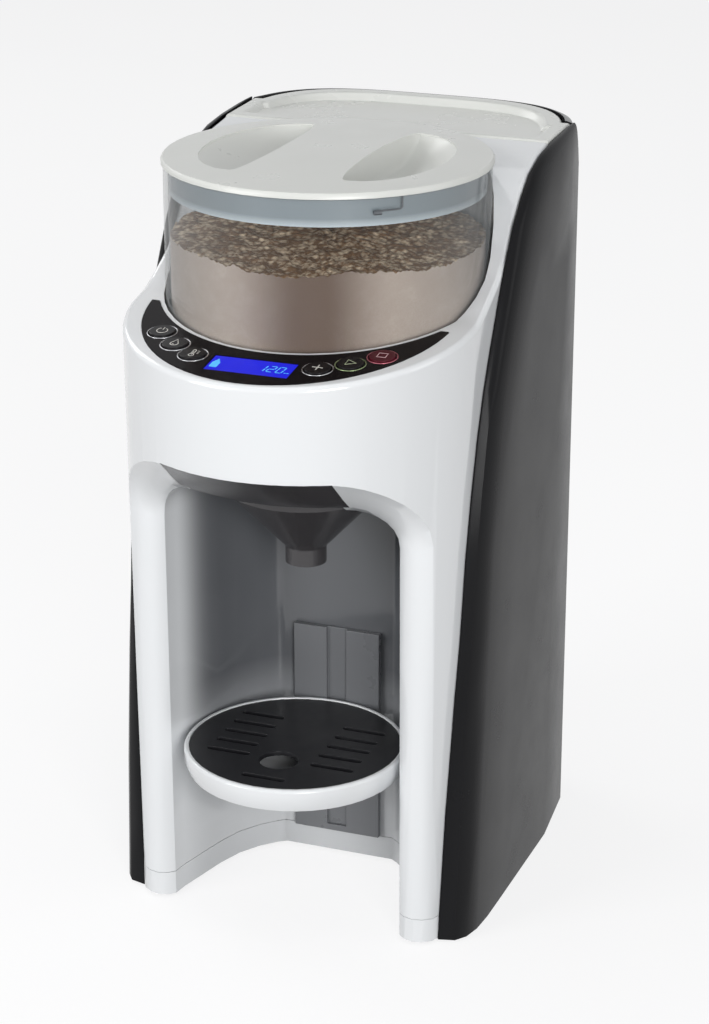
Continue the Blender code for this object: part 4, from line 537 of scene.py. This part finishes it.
def powder_material(name, pale, dark, scale, bump):
    """Dry powder in two colours, its grains as large as the scale is small."""
    material, tree, shader = base_material(name)
    grains = tree.nodes.new("ShaderNodeGroup")
    grains.node_tree = scatter()
    grains.inputs["Pale"].default_value = (*pale, 1.0)
    grains.inputs["Dark"].default_value = (*dark, 1.0)
    grains.inputs["Grain Scale"].default_value = scale
    tree.links.new(grains.outputs["Colour"], shader.inputs["Base Color"])
    add_bump(tree, shader, grains.outputs["Height"], bump, 0.0012)
    shader.inputs["Roughness"].default_value = 0.9
    shader.inputs["Specular IOR Level"].default_value = 0.2
    return material


def finish(key):
    """The machine's finishes, each made once."""
    name = "maker " + key
    if name in bpy.data.materials:
        return bpy.data.materials[name]
    colours = bpy.context.scene.maker_colours
    white = tuple(colours.shell_white)
    dark = tuple(colours.side_dark)
    if key == "white shell":
        return plastic(name, white, tint=(0.70, 0.76, 0.82), share=0.06, gloss=(0.09, 0.15),
                       ripple=0.6, bump=0.012, coat=0.35)
    # The shell's white falls to a painted shade inside the bottle bay.
    if key == "bay shell":
        material = plastic(name, white, tint=(0.70, 0.76, 0.82), share=0.06,
                           gloss=(0.09, 0.15), ripple=0.6, bump=0.012, coat=0.2)
        return with_painted_bay_shade(material)
    if key == "white lid":
        return plastic(name, tuple(colours.lid_white), share=0.10, gloss=(0.26, 0.36),
                       ripple=0.3, bump=0.012)
    if key == "deck white":
        return plastic(name, tuple(colours.deck_white), share=0.08, gloss=(0.22, 0.30), bump=0.01)
    if key == "white inside":
        return plastic(name, (0.60, 0.61, 0.61), share=0.15, gloss=(0.35, 0.5), bump=0.05)
    # The rail's dark grey is painted shade: the tone of the bay's painted shade, laid on a white
    # rail.
    if key == "rail in painted shade":
        return plastic(name, (0.16, 0.165, 0.175), share=0.15, gloss=(0.25, 0.35), bump=0.03)
    if key == "side dark":
        return plastic(name, dark, tint=(0.020, 0.020, 0.024), share=0.10, gloss=(0.20, 0.28),
                       bump=0.010, coat=0.0, specular=0.07)
    if key == "panel black":
        return plastic(name, (0.006, 0.005, 0.006), tint=(0.02, 0.015, 0.015), share=0.3,
                       gloss=(0.06, 0.12), bump=0.006, specular=0.04)
    if key == "smoke tank":
        return plastic(name, (0.012, 0.012, 0.014), share=0.2, gloss=(0.10, 0.18), bump=0.012)
    if key == "smoke funnel":
        return see_through(name, (0.055, 0.052, 0.055), 0.86, 0.97, gloss=(0.16, 0.24))
    # Its dark grey, densest at a glance, is a painted reflection of the dark surroundings at the
    # container's edges.
    if key == "clear":
        return see_through(name, (0.30, 0.32, 0.33), 0.03, 0.48)
    if key == "lid band":
        material = plastic(name, (0.20, 0.245, 0.27), tint=(0.42, 0.47, 0.50), share=0.4,
                           gloss=(0.18, 0.26), bump=0.01, coat=0.5)
        # Paler along the band's lower edge: a painted highlight.
        return paint_highlight_towards(material, (0.56, 0.64, 0.68), 0.3675, 0.3640)
    if key == "grille":
        return plastic(name, (0.011, 0.011, 0.013), share=0.3, gloss=(0.32, 0.45), grain=1600.0,
                       bump=0.10)
    if key == "silver":
        return plastic(name, (0.52, 0.52, 0.54), gloss=(0.22, 0.32), metallic=1.0, bump=0.02)
    if key == "steel":
        return plastic(name, (0.56, 0.56, 0.58), gloss=(0.25, 0.40), metallic=1.0, bump=0.05)
    if key == "motor can":
        return plastic(name, (0.42, 0.42, 0.43), gloss=(0.30, 0.45), metallic=1.0, bump=0.08)
    if key == "key black":
        return plastic(name, (0.008, 0.007, 0.008), share=0.2, gloss=(0.14, 0.22), bump=0.01,
                       specular=0.12)
    if key == "key red":
        return plastic(name, (0.070, 0.005, 0.012), share=0.2, gloss=(0.14, 0.22), bump=0.01,
                       specular=0.12)
    if key == "ring green":
        return plastic(name, (0.30, 0.38, 0.20), gloss=(0.22, 0.32), metallic=0.7, bump=0.02)
    if key == "ring red":
        return plastic(name, (0.46, 0.13, 0.17), gloss=(0.22, 0.32), metallic=0.6, bump=0.02)
    if key == "mark white":
        return plastic(name, (0.62, 0.60, 0.56), gloss=(0.4, 0.5), bump=0.01)
    if key == "mark green":
        return plastic(name, (0.55, 0.62, 0.40), gloss=(0.4, 0.5), bump=0.01)
    if key == "mark rose":
        return plastic(name, (0.72, 0.42, 0.46), gloss=(0.4, 0.5), bump=0.01)
    # Dark strokes drawn where a groove and a notch are: painted shade.
    if key == "painted groove shade":
        return plastic(name, (0.10, 0.11, 0.12), gloss=(0.4, 0.5), bump=0.01)
    if key == "slot dark":
        return plastic(name, (0.020, 0.022, 0.026), gloss=(0.5, 0.6), bump=0.01)
    if key == "screen blue":
        return lit(name, tuple(colours.display_blue), 0.95)
    if key == "digits":
        return lit(name, tuple(colours.digit_blue), 1.0, (0.02, 0.05, 0.10))
    if key == "powder":
        material = powder_material(name, tuple(colours.powder_pale), (0.50, 0.42, 0.36),
                                   1500.0, 0.04)
        # A darker brown zone of painted shade on the powder behind the front wall.
        return recoloured(material, painted_shade_share(material.node_tree), (0.100, 0.056, 0.035))
    if key == "powder top":
        return powder_material(name, (0.88, 0.72, 0.52), (0.23, 0.12, 0.045), 330.0, 0.9)
    if key == "board":
        return plastic(name, (0.015, 0.13, 0.05), share=0.3, gloss=(0.4, 0.55), bump=0.08)
    if key == "rubber":
        return plastic(name, (0.018, 0.018, 0.018), share=0.3, gloss=(0.7, 0.85), bump=0.15)
    if key == "acetal":
        return plastic(name, (0.74, 0.71, 0.62), share=0.2, gloss=(0.35, 0.5), bump=0.04)
    if key == "silicone":
        return plastic(name, (0.62, 0.62, 0.60), share=0.2, gloss=(0.45, 0.6), bump=0.04)
    raise RuntimeError("no finish is named " + key)


# Sizes and colours that a user may change


class MakerSizes(bpy.types.PropertyGroup):
    """Sizes of the added pieces."""

    powder_level: bpy.props.FloatProperty(
        name="Powder Level", description="Height of the powder at the container's wall",
        default=0.3412, min=0.305, max=0.36, subtype="DISTANCE", unit="LENGTH")
    powder_heap: bpy.props.FloatProperty(
        name="Powder Heap", description="How far the powder's surface rises and falls",
        default=0.0035, min=0.0, max=0.008, subtype="DISTANCE", unit="LENGTH")
    ring_radius: bpy.props.FloatProperty(
        name="Key Ring Radius", description="Radius of the trim ring round each key",
        default=0.00712, min=0.0069, max=0.008, subtype="DISTANCE", unit="LENGTH")
    ring_width: bpy.props.FloatProperty(
        name="Key Ring Width", description="Width of the trim ring round each key",
        default=0.00056, min=0.0003, max=0.001, subtype="DISTANCE", unit="LENGTH")
    mark_width: bpy.props.FloatProperty(
        name="Mark Width", description="Line width of the symbols on the keys",
        default=0.00052, min=0.0003, max=0.001, subtype="DISTANCE", unit="LENGTH")
    digit_height: bpy.props.FloatProperty(
        name="Digit Height", description="Height of the numbers on the display",
        default=0.0058, min=0.003, max=0.010, subtype="DISTANCE", unit="LENGTH")
    shell_edge: bpy.props.FloatProperty(
        name="Shell Edge", description="Radius of the softened edges of the moulded shells",
        default=0.0006, min=0.0001, max=0.002, subtype="DISTANCE", unit="LENGTH")


class MakerColours(bpy.types.PropertyGroup):
    """Colours of the machine's finishes."""

    shell_white: bpy.props.FloatVectorProperty(
        name="Shell", description="Front shell and skirt", subtype="COLOR", min=0, max=1,
        default=(0.80, 0.815, 0.83))
    lid_white: bpy.props.FloatVectorProperty(
        name="Hopper Lid", description="Lid of the powder hopper", subtype="COLOR", min=0, max=1,
        default=(0.70, 0.71, 0.68))
    deck_white: bpy.props.FloatVectorProperty(
        name="Deck Lid", description="Lid of the water tank", subtype="COLOR", min=0, max=1,
        default=(0.71, 0.72, 0.69))
    side_dark: bpy.props.FloatVectorProperty(
        name="Side Panels", description="Dark outer panels", subtype="COLOR", min=0, max=1,
        default=(0.012, 0.012, 0.013))
    display_blue: bpy.props.FloatVectorProperty(
        name="Display", description="Lit ground of the display", subtype="COLOR", min=0, max=1,
        default=(0.008, 0.012, 0.80))
    digit_blue: bpy.props.FloatVectorProperty(
        name="Digits", description="Lit numbers and symbol", subtype="COLOR", min=0, max=1,
        default=(0.10, 0.52, 1.0))
    powder_pale: bpy.props.FloatVectorProperty(
        name="Powder", description="Formula powder at the container's wall", subtype="COLOR",
        min=0, max=1, default=(0.56, 0.48, 0.42))


# Pieces


class MAKER_OT_stage(bpy.types.Operator):
    """Pale floor, soft studio lamps and the camera"""

    bl_idname = "maker.stage"
    bl_label = "Stage"

    def execute(self, context):
        bpy.ops.object.select_all(action="DESELECT")
        bpy.ops.mesh.primitive_plane_add(size=16.0, location=(0, 2.0, 0))
        floor = named("floor")
        settle(floor)
        floor.data.materials.append(self.floor_material())
        self.world(context)
        self.lamps()
        bpy.ops.object.camera_add(
            location=CAMERA_PLACE,
            rotation=(math.radians(90 - CAMERA_DOWN), 0, math.radians(CAMERA_ROUND)))
        camera = context.active_object
        camera.name = "camera"
        camera.data.sensor_fit = "VERTICAL"
        camera.data.sensor_height = 36.0
        camera.data.lens = CAMERA_LENS
        camera.data.clip_end = 60.0
        context.scene.camera = camera
        context.scene.view_settings.view_transform = "Standard"
        return {"FINISHED"}

    def seen_share(self, tree):
        """1 for the camera and for what gloss or clear plastic shows, 0 for light."""
        path = tree.nodes.new("ShaderNodeLightPath")
        total = path.outputs["Is Camera Ray"]
        for name in ("Is Glossy Ray", "Is Transmission Ray"):
            most = tree.nodes.new("ShaderNodeMath")
            most.operation = "MAXIMUM"
            tree.links.new(total, most.inputs[0])
            tree.links.new(path.outputs[name], most.inputs[1])
            total = most.outputs[0]
        return total

    def floor_material(self):
        material, tree, shader = base_material("floor pale")
        shader.inputs["Roughness"].default_value = 0.9
        shader.inputs["Specular IOR Level"].default_value = 0.0
        patch = noise(tree, place_of(tree), 3.0)
        tone = remap(tree, patch.outputs["Fac"], 0.20, 0.21)
        tree.links.new(tone, shader.inputs["Base Color"])
        glow = times(tree, self.seen_share(tree), 0.83)
        tree.links.new(glow, shader.inputs["Emission Strength"])
        shader.inputs["Emission Color"].default_value = (0.98, 0.98, 0.985, 1.0)
        return material

    def world(self, context):
        world = context.scene.world or bpy.data.worlds.new("studio")
        context.scene.world = world
        world.use_nodes = True
        tree = world.node_tree
        ground = tree.nodes["Background"]
        strength = remap(tree, self.seen_share(tree), 0.18, 0.93, 0.0, 1.0)
        tree.links.new(strength, ground.inputs["Strength"])
        ground.inputs["Color"].default_value = (0.98, 0.99, 1.0, 1.0)

    def lamps(self):
        for name, place, aim, size, height, power in (
            ("lamp_front_left", (-1.5, -2.0, 0.95), (0, 0, 0.2), 1.2, 1.6, 34.0),
            ("lamp_front_right", (1.5, -2.3, 0.75), (0, 0, 0.2), 1.0, 1.3, 50.0),
            ("lamp_right", (2.4, 0.2, 1.0), (0, 0, 0.2), 0.9, 1.6, 8.0),
            ("lamp_top", (-0.2, 0.1, 2.3), (0, 0, 0), 1.6, 1.6, 8.0),
            ("lamp_back", (-2.0, 0.9, 1.6), (0, 0, 0.25), 1.2, 1.2, 12.0),
        ):
            bpy.ops.object.light_add(type="AREA", location=place)
            lamp = bpy.context.active_object
            lamp.name = name
            lamp.data.shape = "RECTANGLE"
            lamp.data.size = size
            lamp.data.size_y = height
            lamp.data.energy = power
            direction = Vector(aim) - Vector(place)
            lamp.rotation_euler = direction.to_track_quat("-Z", "Y").to_euler()


class MAKER_OT_shells(bpy.types.Operator):
    """White front shell and skirt, dark side panels and rear foot"""

    bl_idname = "maker.shells"
    bl_label = "Shells"

    def execute(self, context):
        edge = context.scene.maker_sizes.shell_edge
        # The front shell and skirt carry a painted shade inside the bottle bay.
        for node, body, width, key, slot in (
            ("front_shell", "root", edge, "bay shell", "white_shell"),
            ("base_skirt", "root", edge / 2, "bay shell", "white_shell"),
            ("left_side_panel", "root", edge / 2, "side dark", "dark_panel"),
            ("right_side_panel", "root", edge / 2, "side dark", "dark_panel"),
            ("rear_base", "root", edge, "side dark", "dark_panel"),
        ):
            piece = skin_of(node, node + "_skin", width)
            finish_piece(piece, body, finish(key), node, slot=slot)
        return {"FINISHED"}


class MAKER_OT_tank(bpy.types.Operator):
    """Water tank and its deck lid"""

    bl_idname = "maker.tank"
    bl_label = "Tank"

    def execute(self, context):
        edge = context.scene.maker_sizes.shell_edge
        tank = skin_of("water_tank", "water_tank_skin", edge / 2)
        finish_piece(tank, "tank", finish("smoke tank"), "water_tank", slot="smoke")
        lid = skin_of("tank_lid", "tank_lid_skin", edge)
        finish_piece(lid, "deck_lid", finish("deck white"), "tank_lid", slot="white_shell")
        return {"FINISHED"}


class MAKER_OT_hopper(bpy.types.Operator):
    """Clear container, its lid with two finger scoops, and the bayonet marks"""

    bl_idname = "maker.hopper"
    bl_label = "Hopper"

    def execute(self, context):
        edge = context.scene.maker_sizes.shell_edge
        container = skin_of("hopper_container", "hopper_container_skin", edge / 2)
        finish_piece(container, "container", finish("clear"), "hopper_container", slot="clear")
        lid = skin_of("hopper_lid", "hopper_lid_skin", edge, smooth_angle=40.0)
        finish_piece(lid, "lid", finish("white lid"), "hopper_lid", slot="white_satin")
        lid.data.materials.append(finish("lid band"))
        for face in lid.data.polygons:
            reach = math.hypot(face.center.x, face.center.y - HOPPER_Y)
            if face.center.z < LID_BAND_TOP and reach > LID_BAND_REACH:
                face.material_index = 1
        self.marks()
        return {"FINISHED"}

    def marks(self):
        """Bayonet slot on the container, and the lid's tick."""
        route = [(-43.1, 0.3768), (-43.1, 0.3722), (-44.0, 0.3712), (-52.4, 0.3712)]
        lines = [self.line("bayonet_slot", route, 0.0009)]
        lines.append(self.line("bayonet_end", [(-53.2, 0.3704), (-50.6, 0.3704)], 0.0022))
        slot = joined("bayonet_slot", lines)
        finish_piece(slot, "container", finish("painted groove shade"))
        tick = stroke("lid_tick", [(0.0, -0.0016), (0.0, 0.0016)], 0.0006)
        put(tick, Matrix.Translation((0.0133, 0.0603, 0.3793)) @ Matrix.Rotation(-0.17, 4, "Z"))
        finish_piece(tick, "lid", finish("painted groove shade"))

    def line(self, name, route, width):
        """A line round the container's wall, through pairs of an angle and a height."""
        points = []
        for (a, z), (b, w) in zip(route, route[1:]):
            steps = max(1, int(abs(b - a) / 1.5))
            points += [(a + (b - a) * i / steps, z + (w - z) * i / steps) for i in range(steps)]
        points.append(route[-1])
        places = []
        for angle, z in points:
            turn = math.radians(angle)
            places.append((CONTAINER_SKIN * math.cos(turn),
                           HOPPER_Y + CONTAINER_SKIN * math.sin(turn), z))
        return wire(name, places, width, 1)


class MAKER_OT_powder(bpy.types.Operator):
    """Formula powder in the container, with a loose uneven top"""

    bl_idname = "maker.powder"
    bl_label = "Powder"

    def execute(self, context):
        sizes = context.scene.maker_sizes
        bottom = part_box("powder_wheel")[1][2] + 0.0004
        bpy.ops.object.select_all(action="DESELECT")
        bpy.ops.mesh.primitive_cylinder_add(
            vertices=96, radius=POWDER_RADIUS, depth=sizes.powder_level - bottom,
            location=(0, HOPPER_Y, (sizes.powder_level + bottom) / 2), end_fill_type="TRIFAN")
        powder = settle(named("powder"))
        bpy.ops.object.mode_set(mode="EDIT")
        bpy.ops.mesh.select_all(action="DESELECT")
        bpy.ops.object.mode_set(mode="OBJECT")
        for face in powder.data.polygons:
            face.select = face.normal.z > 0.9
        bpy.ops.object.mode_set(mode="EDIT")
        bpy.ops.mesh.subdivide(number_cuts=28)
        bpy.ops.object.mode_set(mode="OBJECT")
        self.heap(powder, sizes)
        smooth(powder, 60.0)
        finish_piece(powder, "wheel", finish("powder"))
        powder.data.materials.append(finish("powder top"))
        for face in powder.data.polygons:
            if face.normal.z > 0.35:
                face.material_index = 1
        return {"FINISHED"}

    def heap(self, powder, sizes):
        """Raise the top into a low heap with lumps and grains."""
        for vertex in powder.data.vertices:
            if vertex.co.z < sizes.powder_level - 0.0005:
                continue
            x, y = vertex.co.x, vertex.co.y - HOPPER_Y
            reach = math.hypot(x, y) / POWDER_RADIUS
            swell = field.noise(Vector((x * 22, y * 22, 0.4)))
            lumps = field.noise(Vector((x * 150, y * 150, 1.7)))
            grains = field.noise(Vector((x * 520, y * 520, 3.1)))
            rise = sizes.powder_heap * (0.7 * swell + 0.9 * (1 - reach ** 2) * 0.6)
            vertex.co.z += rise + 0.0013 * lumps + 0.0010 * grains


class MAKER_OT_panel(bpy.types.Operator):
    """Gloss control panel with its keys, trim rings and symbols"""

    bl_idname = "maker.panel"
    bl_label = "Control Panel"

    def execute(self, context):
        sizes = context.scene.maker_sizes
        panel = skin_of("control_panel", "control_panel_skin", 0.0003)
        finish_piece(panel, "root", finish("panel black"), "control_panel", slot="black_gloss")
        ring = self.ring(sizes)
        for index, name in enumerate(KEYS):
            x, y = key_place(index)
            place = on_panel(x, y, PLATE_PROUD)
            trim = twin(ring, "key_ring_" + name, place)
            key = {"start": "ring green", "stop": "ring red"}.get(name, "silver")
            finish_piece(trim, "root", finish(key))
            cap = skin_of("key_" + name, "key_cap_" + name, 0.00035, 3)
            key = "key red" if name == "stop" else "key black"
            slot = "key_red" if name == "stop" else "black_gloss"
            finish_piece(cap, "key_" + name, finish(key), "key_" + name, slot=slot)
            self.symbol(name, sizes.mark_width, on_panel(x, y, KEY_TOP))
        bpy.data.objects.remove(ring)
        return {"FINISHED"}

    def ring(self, sizes):
        bpy.ops.object.select_all(action="DESELECT")
        bpy.ops.mesh.primitive_torus_add(
            major_radius=sizes.ring_radius, minor_radius=sizes.ring_width / 2,
            major_segments=64, minor_segments=12)
        ring = named("key_ring")
        ring.scale = (1, 1, 0.8)
        return smooth(settle(ring), 60.0)

    def symbol(self, name, width, place):
        """A plain symbol in place of words: what the key does."""
        parts = []
        if name == "power":
            parts.append(stroke("a", arc(0.0026, 120, 420, 24), width))
            parts.append(stroke("b", [(0, 0.0008), (0, 0.0033)], width))
        elif name == "water":
            drop = [(0.0, 0.0034)] + arc(0.0019, 20, -200, 18, 0.0, -0.0010)
            parts.append(stroke("a", drop, width, cyclic=True))
            parts.append(stroke("b", arc(0.0009, -160, -80, 5, 0.0, -0.0010), width * 0.8))
        elif name == "temperature":
            bulb = arc(0.0012, 125, 415, 18, 0.0, -0.0020)
            stem = [(0.00069, 0.0028)] + arc(0.00069, 0, 180, 8, 0.0, 0.0028)
            parts.append(stroke("a", bulb + stem[:-1] + [(-0.00069, 0.0028)], width * 0.8,
                                cyclic=True))
            parts.append(stroke("b", [(0, -0.0018), (0, 0.0015)], width * 0.9))
            for step in (0.0, 0.0012, 0.0024):
                parts.append(stroke("c", [(0.0018, step), (0.0028, step)], width * 0.7))
        elif name == "amount":
            parts.append(stroke("a", [(-0.0026, 0), (0.0026, 0)], width * 1.2))
            parts.append(stroke("b", [(0, -0.0026), (0, 0.0026)], width * 1.2))
        elif name == "start":
            parts.append(stroke("a", [(-0.0018, -0.0026), (-0.0018, 0.0026), (0.0028, 0.0)],
                                width, cyclic=True))
        elif name == "stop":
            half = 0.0021
            parts.append(stroke("a", [(-half, -half), (half, -half), (half, half),
                                      (-half, half)], width, cyclic=True))
        mark = joined("key_symbol_" + name, parts)
        put(mark, place)
        key = {"start": "mark green", "stop": "mark rose"}.get(name, "mark white")
        finish_piece(mark, "key_" + name, finish(key))


SEGMENTS = {"1": "bc", "2": "abged", "0": "abcdef"}


class MAKER_OT_display(bpy.types.Operator):
    """Lit display with a bottle symbol and a plain number"""

    bl_idname = "maker.display"
    bl_label = "Display"

    def execute(self, context):
        sizes = context.scene.maker_sizes
        screen = skin_of("display_screen", "display_window", 0.0002)
        finish_piece(screen, "root", finish("screen blue"), "display_screen",
                     slot="display_blue")
        height = sizes.digit_height
        parts = []
        for index, digit in enumerate("120"):
            parts += self.digit(digit, DIGIT_START + index * height * DIGIT_STEP, DIGIT_FOOT,
                                height)
        parts += self.bottle()
        for x in UNIT_PLACES:
            ends = [(x - UNIT_WIDTH / 2, UNIT_FOOT), (x + UNIT_WIDTH / 2, UNIT_FOOT)]
            parts.append(stroke("unit", ends, 0.0005))
        glyphs = joined("display_digits", parts)
        put(glyphs, on_panel(0.0, DISPLAY_Y, SCREEN_TOP + 0.0001))
        finish_piece(glyphs, "root", finish("digits"))
        return {"FINISHED"}

    def digit(self, digit, x, y, height):
        """Seven slanted bars, as a display draws them."""
        wide = height * 0.5
        half = height / 2
        bars = {
            "a": ((0, height), (wide, height)), "b": ((wide, height), (wide, half)),
            "c": ((wide, half), (wide, 0)), "d": ((0, 0), (wide, 0)),
            "e": ((0, half), (0, 0)), "f": ((0, height), (0, half)),
            "g": ((0, half), (wide, half)),
        }
        made = []
        for letter in SEGMENTS[digit]:
            (x0, y0), (x1, y1) = bars[letter]
            dx, dy = (x1 - x0) * 0.1, (y1 - y0) * 0.1
            ends = [(x0 + dx, y0 + dy), (x1 - dx, y1 - dy)]
            made.append(stroke("bar", [(x + a + DIGIT_LEAN * b, y + b) for a, b in ends],
                               height * 0.105, flatten=0.15))
        return made

    def bottle(self):
        outline = [
            (-0.0016, -0.0045), (0.0016, -0.0045), (0.0019, -0.0040), (0.0019, 0.0005),
            (0.0012, 0.0013), (0.0012, 0.0022), (0.0005, 0.0026), (0.0004, 0.0038),
            (-0.0004, 0.0038), (-0.0005, 0.0026), (-0.0012, 0.0022), (-0.0012, 0.0013),
            (-0.0019, 0.0005), (-0.0019, -0.0040),
        ]
        return [plate("bottle", [(BOTTLE_X + a, b) for a, b in outline], 0.0001)]


class MAKER_OT_funnel(bpy.types.Operator):
    """Smoke drawer with its funnel, seen under the control panel"""

    bl_idname = "maker.funnel"
    bl_label = "Funnel"

    def execute(self, context):
        funnel = skin_of("funnel", "funnel_skin", 0.0004)
        finish_piece(funnel, "funnel_drawer", finish("smoke funnel"), "funnel", slot="smoke")
        cover = skin_of("funnel_cover", "funnel_cover_skin", 0.0003)
        finish_piece(cover, "funnel_drawer", finish("smoke funnel"), "funnel_cover", slot="smoke")
        return {"FINISHED"}


class MAKER_OT_tray(bpy.types.Operator):
    """Bottle tray with its grille, bracket, and the rail on the bay wall"""

    bl_idname = "maker.tray"
    bl_label = "Tray"

    def execute(self, context):
        edge = context.scene.maker_sizes.shell_edge
        tray = skin_of("tray", "tray_skin", edge)
        finish_piece(tray, "tray_carrier", finish("white shell"), "tray", slot="white_shell")
        grille = skin_of("tray_grille", "tray_grille_skin", 0.0002)
        finish_piece(grille, "grille", finish("grille"), "tray_grille", slot="grille_black")
        bracket = skin_of("tray_bracket", "tray_bracket_skin", edge / 2)
        finish_piece(bracket, "tray_carrier", finish("white shell"), "tray_bracket",
                     slot="white_shell")
        # The rail takes the dark grey of the bay's painted shade.
        rail = skin_of("tray_track", "tray_track_skin", edge / 2)
        finish_piece(rail, "root", finish("rail in painted shade"), "tray_track", slot="white_satin")
        return {"FINISHED"}


class MAKER_OT_insides(bpy.types.Operator):
    """Finishes of the parts that keep their own solids"""

    bl_idname = "maker.insides"
    bl_label = "Insides"

    PARTS = {
        "white inside": ("rear_bulkhead", "powder_wheel", "stirrer", "gearbox_base",
                         "gearbox_cover", "powder_chute"),
        "panel black": ("cord_inlet",),
        "board": ("display_board", "power_board", "main_board"),
        "rubber": ("front_left_foot", "front_right_foot", "rear_left_foot",
                   "rear_right_foot"),
        "steel": ("drive_shaft", "shaft_bearing", "idler_pin", "gearbox_screw_1",
                  "gearbox_screw_2", "gearbox_screw_3", "gearbox_screw_4", "valve_spring",
                  "heater"),
        "acetal": ("tank_valve", "valve_cage", "valve_socket", "wheel_gear", "idler_gear",
                   "motor_pinion", "drive_coupling", "water_nozzle"),
        "motor can": ("motor", "pump"),
        "silicone": ("supply_hose", "pump_hose", "nozzle_hose"),
    }

    def execute(self, context):
        for key, nodes in self.PARTS.items():
            material = finish(key)
            for node in nodes:
                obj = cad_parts[node]
                obj.data.materials.clear()
                obj.data.materials.append(material)
        return {"FINISHED"}


class MAKER_PT_panel(bpy.types.Panel):
    bl_idname = "MAKER_PT_panel"
    bl_label = "Formula Maker"
    bl_space_type = "VIEW_3D"
    bl_region_type = "UI"
    bl_category = "Maker"

    def draw(self, context):
        layout = self.layout
        for operator in OPERATORS:
            layout.operator(operator.bl_idname)
        for group in (context.scene.maker_sizes, context.scene.maker_colours):
            box = layout.box()
            for key in group.__annotations__:
                box.prop(group, key)


OPERATORS = (MAKER_OT_stage, MAKER_OT_shells, MAKER_OT_tank, MAKER_OT_hopper, MAKER_OT_powder,
             MAKER_OT_panel, MAKER_OT_display, MAKER_OT_funnel, MAKER_OT_tray,
             MAKER_OT_insides)
CLASSES = (MakerSizes, MakerColours) + OPERATORS + (MAKER_PT_panel,)


def register():
    for cls in CLASSES:
        bpy.utils.register_class(cls)
    bpy.types.Scene.maker_sizes = bpy.props.PointerProperty(type=MakerSizes)
    bpy.types.Scene.maker_colours = bpy.props.PointerProperty(type=MakerColours)


def unregister():
    del bpy.types.Scene.maker_colours
    del bpy.types.Scene.maker_sizes
    for cls in reversed(CLASSES):
        bpy.utils.unregister_class(cls)


def main():
    register()
    bpy.ops.maker.stage()
    bpy.ops.maker.shells()
    bpy.ops.maker.tank()
    bpy.ops.maker.hopper()
    bpy.ops.maker.powder()
    bpy.ops.maker.panel()
    bpy.ops.maker.display()
    bpy.ops.maker.funnel()
    bpy.ops.maker.tray()
    bpy.ops.maker.insides()


if __name__ == "__main__":
    main()
